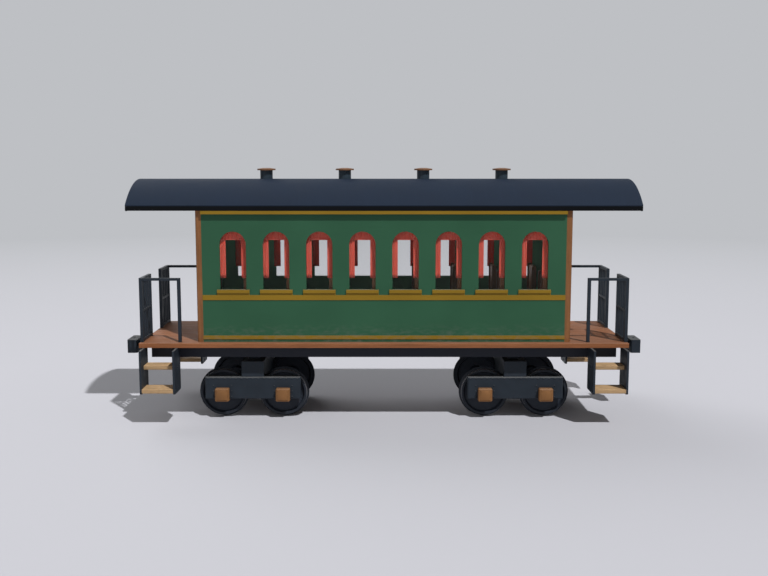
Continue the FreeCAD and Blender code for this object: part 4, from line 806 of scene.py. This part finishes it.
def cushion(name, low, high, face, tufts, radius, materials):
    """A buttoned leather cushion between two corners: crowned on its face, piped round its edge."""
    low, high = Vector(low), Vector(high)
    margin, cell, reach, rise = Vector((0.007,) * 3), 0.0165, 0.014, 0.012
    button_radius = 0.011
    # how deep and how far the face falls at its edge and at a button, and its deepest place
    edge_fall, edge_spread, tuft_fall, tuft_spread, deepest = 0.012, 0.06, 0.02, 0.032, 0.024
    start_low, start_high = low + margin, high - margin
    axis = max((X, Y, Z), key=lambda a: abs(face[a]))
    one, two = (a for a in (X, Y, Z) if a != axis)
    towards = 1 if face[axis] > 0 else -1
    face_at = start_high[axis] if towards > 0 else start_low[axis]
    spots = []
    for tuft in tufts:
        spot = Vector((face_at,) * 3)
        for a, share in zip((one, two), tuft):
            spot[a] = start_low[a] + (start_high[a] - start_low[a]) * share
        spots.append(spot)
    pad = even_block(name, start_low, start_high, cell)
    points = pad.data.vertices
    held = [min(points, key=lambda vertex: (vertex.co - spot).length).index for spot in spots]
    on_face = {vertex.index for vertex in points if abs(vertex.co[axis] - face_at) < 1e-5}
    # how far each point of the face lies inside the cushion's edge
    inside = {index: min(min(points[index].co[a] - start_low[a], start_high[a] - points[index].co[a])
                         for a in (one, two)) for index in on_face}
    rim = {edge.index for edge in pad.data.edges
           if all(inside.get(index, 1) < 1e-5 for index in edge.vertices)}
    for index in on_face:
        place = points[index].co
        sink = edge_fall * max(0, 1 - inside[index] / edge_spread) ** 2
        sink += sum(tuft_fall * math.exp(-((place - spot).length / tuft_spread) ** 2) for spot in spots)
        place[axis] -= towards * min(sink, deepest)
    # a seat's room reaches past its block on the side of its face, a back's doesn't
    roof = high + Vector(face) * rise if towards > 0 else high
    inflate(pad, (low, roof), held, reach)
    buttons = [points[index].co.copy() for index in held]
    pick(pad, lambda edge: edge.index in rim, "EDGE")
    bpy.ops.mesh.duplicate()
    bpy.ops.mesh.separate(type="SELECTED")
    leave_edit()
    cord = [piece for piece in bpy.context.selected_objects if piece != pad][0]
    only(cord)
    bpy.ops.object.convert(target="CURVE")
    cord.data.bevel_depth, cord.data.bevel_resolution = radius, 1
    bpy.ops.object.convert(target="MESH")
    cord = bpy.context.active_object
    only(pad)
    bpy.ops.object.shade_smooth()
    parts = [pad, cord]
    for number, place in enumerate(buttons):
        clear_selection()
        bpy.ops.mesh.primitive_uv_sphere_add(segments=10, ring_count=6, radius=button_radius,
                                             location=place)
        button = take(f"{name}_button_{number}")
        flatten = [1.0] * 3
        flatten[axis] = 0.5
        pick(button, lambda vertex: True, "VERT")
        bpy.ops.transform.resize(value=flatten, center_override=place)
        only(button)
        bpy.ops.object.shade_smooth()
        parts.append(button)
    for part, material in zip(parts, [materials[0]] + [materials[1]] * (len(parts) - 1)):
        coat(part, material)
    smooth(cord, 60)
    return joined(name, parts)


class COACH_OT_upholster_benches(Operator):
    """Make a seat cushion and a back cushion, and put them on every bench"""
    bl_idname = "coach.upholster_benches"
    bl_label = "Upholster the benches"

    def execute(self, context):
        sizes, colours = sizes_and_colours(context)
        leathers = (hide("cushion_leather", colours.leather),
                    hide("cushion_piping", tinted(colours.leather, 0.62)))
        low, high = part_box("bench_cushions")
        outer = high[Y]
        inner = outer - sizes.seat_width
        middles = window_middles(sizes)
        seat_top, gap = low[Z] + sizes.seat_pad, 0.001
        first = middles[0]
        seat = cushion("seat_cushion", (first - sizes.seat_front, inner, low[Z]),
                       (first + sizes.seat_back, outer, seat_top), (0, 0, 1),
                       [(a, b) for a in (0.3, 0.7) for b in (0.2, 0.5, 0.8)], sizes.piping, leathers)
        back = cushion("back_cushion", (first + sizes.seat_back - sizes.back_pad, inner, seat_top + gap),
                       (first + sizes.seat_back, outer, high[Z]), (-1, 0, 0),
                       [(a, b) for a in (0.2, 0.5, 0.8) for b in (0.22, 0.5, 0.78)], sizes.piping, leathers)
        for pattern in (seat, back):
            for side_name, side in SIDES:
                for number, middle in enumerate(middles, start=1):
                    move = Matrix.Diagonal((1, side, 1, 1)) @ Matrix.Translation((middle - first, 0, 0))
                    pad = copy_of(pattern, f"{pattern.name}_{side_name}_{number}", move)
                    finished(pad, "coach", "cushion_leather")
                    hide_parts("bench_cushions")
            throw_away(pattern)
        return {"FINISHED"}


class COACH_OT_fit_axle_box_lids(Operator):
    """Fit a thin cover with four bolts to the front of every axle box"""
    bl_idname = "coach.fit_axle_box_lids"
    bl_label = "Fit the axle-box lids"

    def execute(self, context):
        sizes, colours = sizes_and_colours(context)
        finish = painted_iron("axle_box_lid_brown", tinted(colours.axle_box, 1.02), 0.5, 0.0012, 0.1, 0.12)
        boxes = "axle_boxes_front"
        face, middle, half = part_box(boxes)[1][Y], middle_of(boxes, Z), sizes.lid / 2
        thickness, raised, border, corner_radius = 0.006, 0.002, 0.003, 0.012
        bolt, bolt_inset = 0.009, 0.017
        plate = block("axle_box_lid", (-half, face, middle - half), (half, face + thickness, middle + half))
        edges_along(plate, Y)
        bpy.ops.mesh.bevel(offset=corner_radius, segments=3)
        faces_towards(plate, (0, 1, 0))
        bpy.ops.mesh.inset(thickness=border, depth=raised)
        leave_edit()
        corner, out = half - bolt_inset, face + thickness + raised - SUNK
        bolts = row_of_heads("lid_bolts", bolt, [((along * corner, out, middle + up * corner), (0, 1, 0))
                                                 for along in (-1, 1) for up in (-1, 1)])
        smooth(plate)
        lid = joined("axle_box_lid", [plate, bolts])
        wheelbase = between_axles()
        for end, body, bogie in bogie_places():
            for side_name, side in SIDES:
                for place, along in (("a", 0.5), ("b", -0.5)):
                    move = Matrix.Translation((bogie + along * wheelbase, 0, 0)) @ Matrix.Diagonal((1, side, 1, 1))
                    cover = copy_of(lid, f"axle_box_lid_{end}_{side_name}_{place}", move)
                    finished(cover, body, "axle_box_brown", finish)
        throw_away(lid)
        return {"FINISHED"}


class COACH_OT_rivet_bogies(Operator):
    """Rivet the side frames of both bogies"""
    bl_idname = "coach.rivet_bogies"
    bl_label = "Rivet the bogies"

    def execute(self, context):
        sizes, colours = sizes_and_colours(context)
        finish = painted_iron("bogie_rivet_paint", colours.iron)
        wheelbase = between_axles()
        boxes_low, boxes_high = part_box("axle_boxes_front")
        # the side frames' top; a head's place from the next one, the frame's top, its foot and an axle box
        frame_top, spacing, below_top, above_foot, off_box = 0.757, 0.1, 0.032, 0.04, 0.035
        row_start = -0.8
        beside = (boxes_high[X] - boxes_low[X]) / 2 - wheelbase / 2 + off_box
        for end, body, bogie in bogie_places():
            low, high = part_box(f"bogie_frame_{end}")
            top_row, foot_row = frame_top - below_top, low[Z] + above_foot
            places = []
            for _, side in SIDES:
                face, out = side * (high[Y] - SUNK), (0, side, 0)
                for step in range(17):
                    places.append(((bogie + row_start + spacing * step, face, top_row), out))
                for axle in (-wheelbase / 2, wheelbase / 2):
                    for away in (-beside, beside):
                        for step in range(3):
                            places.append(((bogie + axle + away, face, foot_row + spacing * step), out))
            finished(row_of_heads(f"bogie_rivets_{end}", sizes.rivet, places), body, "bogie_paint", finish)
        return {"FINISHED"}


class COACH_OT_bolt_steps(Operator):
    """Bolt the treads to the step plates"""
    bl_idname = "coach.bolt_steps"
    bl_label = "Bolt the steps"

    def execute(self, context):
        sizes, colours = sizes_and_colours(context)
        finish = painted_iron("step_bolt_paint", colours.iron, rust=0.3)
        # the outer faces of the two plates of a flight, from the coach's middle
        near_plate, far_plate = 3.59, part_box("step_plates")[1][X]
        # height of a bolt, its two places from the middle
        rows = ((1.0075, (1.12, 1.29)), (0.6285, (1.23, 1.46)))
        places = []
        for _, end in ENDS:
            for _, side in SIDES:
                for height, across in rows:
                    for out in across:
                        places.append(((end * (far_plate - SUNK), side * out, height), (end, 0, 0)))
                        places.append(((end * (near_plate + SUNK), side * out, height), (-end, 0, 0)))
        finished(row_of_heads("step_bolts", sizes.rivet, places), "coach", "step_iron", finish)
        return {"FINISHED"}


def turned(name, start, direction, profile, sides=20):
    """A round piece grown ring by ring along an axis. The profile gives each ring's radius and its place."""
    direction = Vector(direction)
    clear_selection()
    bpy.ops.mesh.primitive_circle_add(vertices=sides, radius=profile[0][0], fill_type="NGON", location=start,
                                      rotation=direction.to_track_quat("Z", "Y").to_euler())
    piece = take(name)
    only(piece)
    bpy.ops.object.mode_set(mode="EDIT")
    bpy.ops.mesh.select_mode(type="FACE")
    bpy.ops.mesh.select_all(action="SELECT")
    for (radius, along), (wider, further) in zip(profile, profile[1:]):
        bpy.ops.mesh.extrude_region_move(TRANSFORM_OT_translate={"value": direction * (further - along)})
        centre = Vector(start) + direction * further
        bpy.ops.transform.resize(value=(wider / radius,) * 3, center_override=centre)
    face_outwards(piece)
    return piece


class COACH_OT_fit_door_knobs(Operator):
    """Fit a brass knob and its rose to both faces of each end door"""
    bl_idname = "coach.fit_door_knobs"
    bl_label = "Fit the door knobs"

    def execute(self, context):
        sizes, colours = sizes_and_colours(context)
        finish = bright_metal("knob_brass", colours.brass, 0.22, (30.0, 30.0, 30.0))
        knob, half_leaf, off_middle, knob_height = sizes.knob, 0.02, 0.295, 2.3
        # share of the knob's radius at each ring, the ring's place out from the door
        rings = ((1.15, 0.0), (1.15, 0.003), (0.95, 0.006), (0.42, 0.008), (0.36, 0.022), (0.62, 0.026),
                 (0.93, 0.033), (1.0, 0.041), (0.9, 0.049), (0.6, 0.055), (0.2, 0.058))
        profile = [(knob * share, along) for share, along in rings]
        for end, way in ENDS:
            leaf = middle_of(f"door_glass_{end}", X)
            sides = [turned(f"knob_{end}_{face}",
                            (leaf + way * face * (half_leaf - SUNK), -way * off_middle, knob_height),
                            (way * face, 0, 0), profile) for face in (1, -1)]
            pair = joined(f"door_knobs_{end}", sides)
            smooth(pair, 50)
            finished(pair, f"{end}_door", "brass", finish)
        return {"FINISHED"}


def seen_rays(graph):
    """1 for the rays that show the background, straight, mirrored or through glass."""
    rays = graph.node("LightPath").node.outputs
    straight, mirrored, through = (rays[f"Is {kind} Ray"] for kind in ("Camera", "Glossy", "Transmission"))
    return graph.math("MAXIMUM", graph.math("MAXIMUM", straight, mirrored), through)


class COACH_OT_build_studio(Operator):
    """Lay the floor, hang the lamps and set up the camera"""
    bl_idname = "coach.build_studio"
    bl_label = "Build the studio"

    def execute(self, context):
        studio, scene = context.scene.coach_studio, context.scene
        clear_selection()
        floor_size, floor_gap, fade_from, fade_to, lamp_height = 400, 0.001, 9.0, 45.0, 12
        bpy.ops.mesh.primitive_plane_add(size=floor_size, location=(0, 0, -floor_gap))
        floor = take("studio_floor")
        finish = Finish("studio_floor", 0.9)
        finish.feed("Base Color", finish.mix(finish.noise(0.4), tinted(studio.floor, 0.99), studio.floor))
        away = finish.node("VectorMath", {0: finish.place}, output="Value", operation="LENGTH")
        fade = finish.times(finish.ramp(away, fade_from, fade_to), seen_rays(finish))
        beyond = finish.node("Emission", {"Color": studio.backdrop, "Strength": 1.0})
        floor_look = finish.node("MixShader", {0: fade, 1: finish.shader.outputs[0], 2: beyond})
        finish.tree.links.new(floor_look, finish.tree.nodes["Material Output"].inputs["Surface"])
        floor.data.materials.append(finish.material)
        world = bpy.data.worlds.new("studio")
        scene.world = world
        world.use_nodes = True
        sky = Graph(world.node_tree)
        sky.tree.nodes.clear()
        shown = sky.node("Background", {"Color": studio.backdrop})
        light = sky.node("Background", {"Color": (0.97, 0.985, 1.0), "Strength": studio.sky})
        blend = sky.node("MixShader", {0: seen_rays(sky), 1: light, 2: shown})
        sky.tree.links.new(blend, sky.tree.nodes.new("ShaderNodeOutputWorld").inputs["Surface"])
        # name, direction the light travels in, strength, softness
        lamps = (
            ("studio_key", (-0.386, 0.566, -1.0), studio.key, studio.key_softness),
            ("studio_fill", (0.55, -0.62, -0.56), studio.fill, math.radians(50)),
            ("studio_front", (0.6, 0.79, -0.12), studio.front, math.radians(25)),
        )
        for name, travel, strength, softness in lamps:
            clear_selection()
            bpy.ops.object.light_add(type="SUN", location=(0, 0, lamp_height),
                                     rotation=Vector(travel).to_track_quat("-Z", "Y").to_euler())
            lamp = context.active_object
            lamp.name = lamp.data.name = name
            lamp.data.energy, lamp.data.angle = strength, softness
        bpy.ops.object.camera_add(location=(0, -studio.eye_back, studio.eye_height),
                                  rotation=(math.pi / 2 - studio.eye_tilt, 0, 0))
        camera = context.active_object
        camera.name = camera.data.name = "studio_camera"
        camera.data.lens, camera.data.sensor_width = studio.lens, 36
        camera.data.clip_end = 500
        scene.camera = camera
        scene.view_settings.view_transform = "Standard"
        return {"FINISHED"}


OPERATORS = (
    COACH_OT_finish_body,
    COACH_OT_finish_roof,
    COACH_OT_finish_cabin,
    COACH_OT_finish_platforms,
    COACH_OT_finish_running_gear,
    COACH_OT_hang_curtains,
    COACH_OT_upholster_benches,
    COACH_OT_fit_axle_box_lids,
    COACH_OT_rivet_bogies,
    COACH_OT_bolt_steps,
    COACH_OT_fit_door_knobs,
    COACH_OT_build_studio,
)


class COACH_PT_workshop(Panel):
    """The coach's steps, in the order they are done"""
    bl_idname = "COACH_PT_workshop"
    bl_label = "Coach"
    bl_space_type = "VIEW_3D"
    bl_region_type = "UI"
    bl_category = "Coach"

    def draw(self, context):
        for operator in OPERATORS:
            self.layout.operator(operator.bl_idname)
        for settings in (context.scene.coach_sizes, context.scene.coach_colours, context.scene.coach_studio):
            box = self.layout.box()
            for name in settings.__annotations__:
                box.prop(settings, name)


CLASSES = (CoachColours, CoachSizes, StudioSettings, *OPERATORS, COACH_PT_workshop)


def register():
    for thing in CLASSES:
        bpy.utils.register_class(thing)
    bpy.types.Scene.coach_colours = PointerProperty(type=CoachColours)
    bpy.types.Scene.coach_sizes = PointerProperty(type=CoachSizes)
    bpy.types.Scene.coach_studio = PointerProperty(type=StudioSettings)


def unregister():
    del bpy.types.Scene.coach_studio
    del bpy.types.Scene.coach_sizes
    del bpy.types.Scene.coach_colours
    for thing in reversed(CLASSES):
        bpy.utils.unregister_class(thing)


def main():
    register()
    for operator in OPERATORS:
        group, name = operator.bl_idname.split(".")
        getattr(getattr(bpy.ops, group), name)()
    clear_selection()


if __name__ == "__main__":
    main()
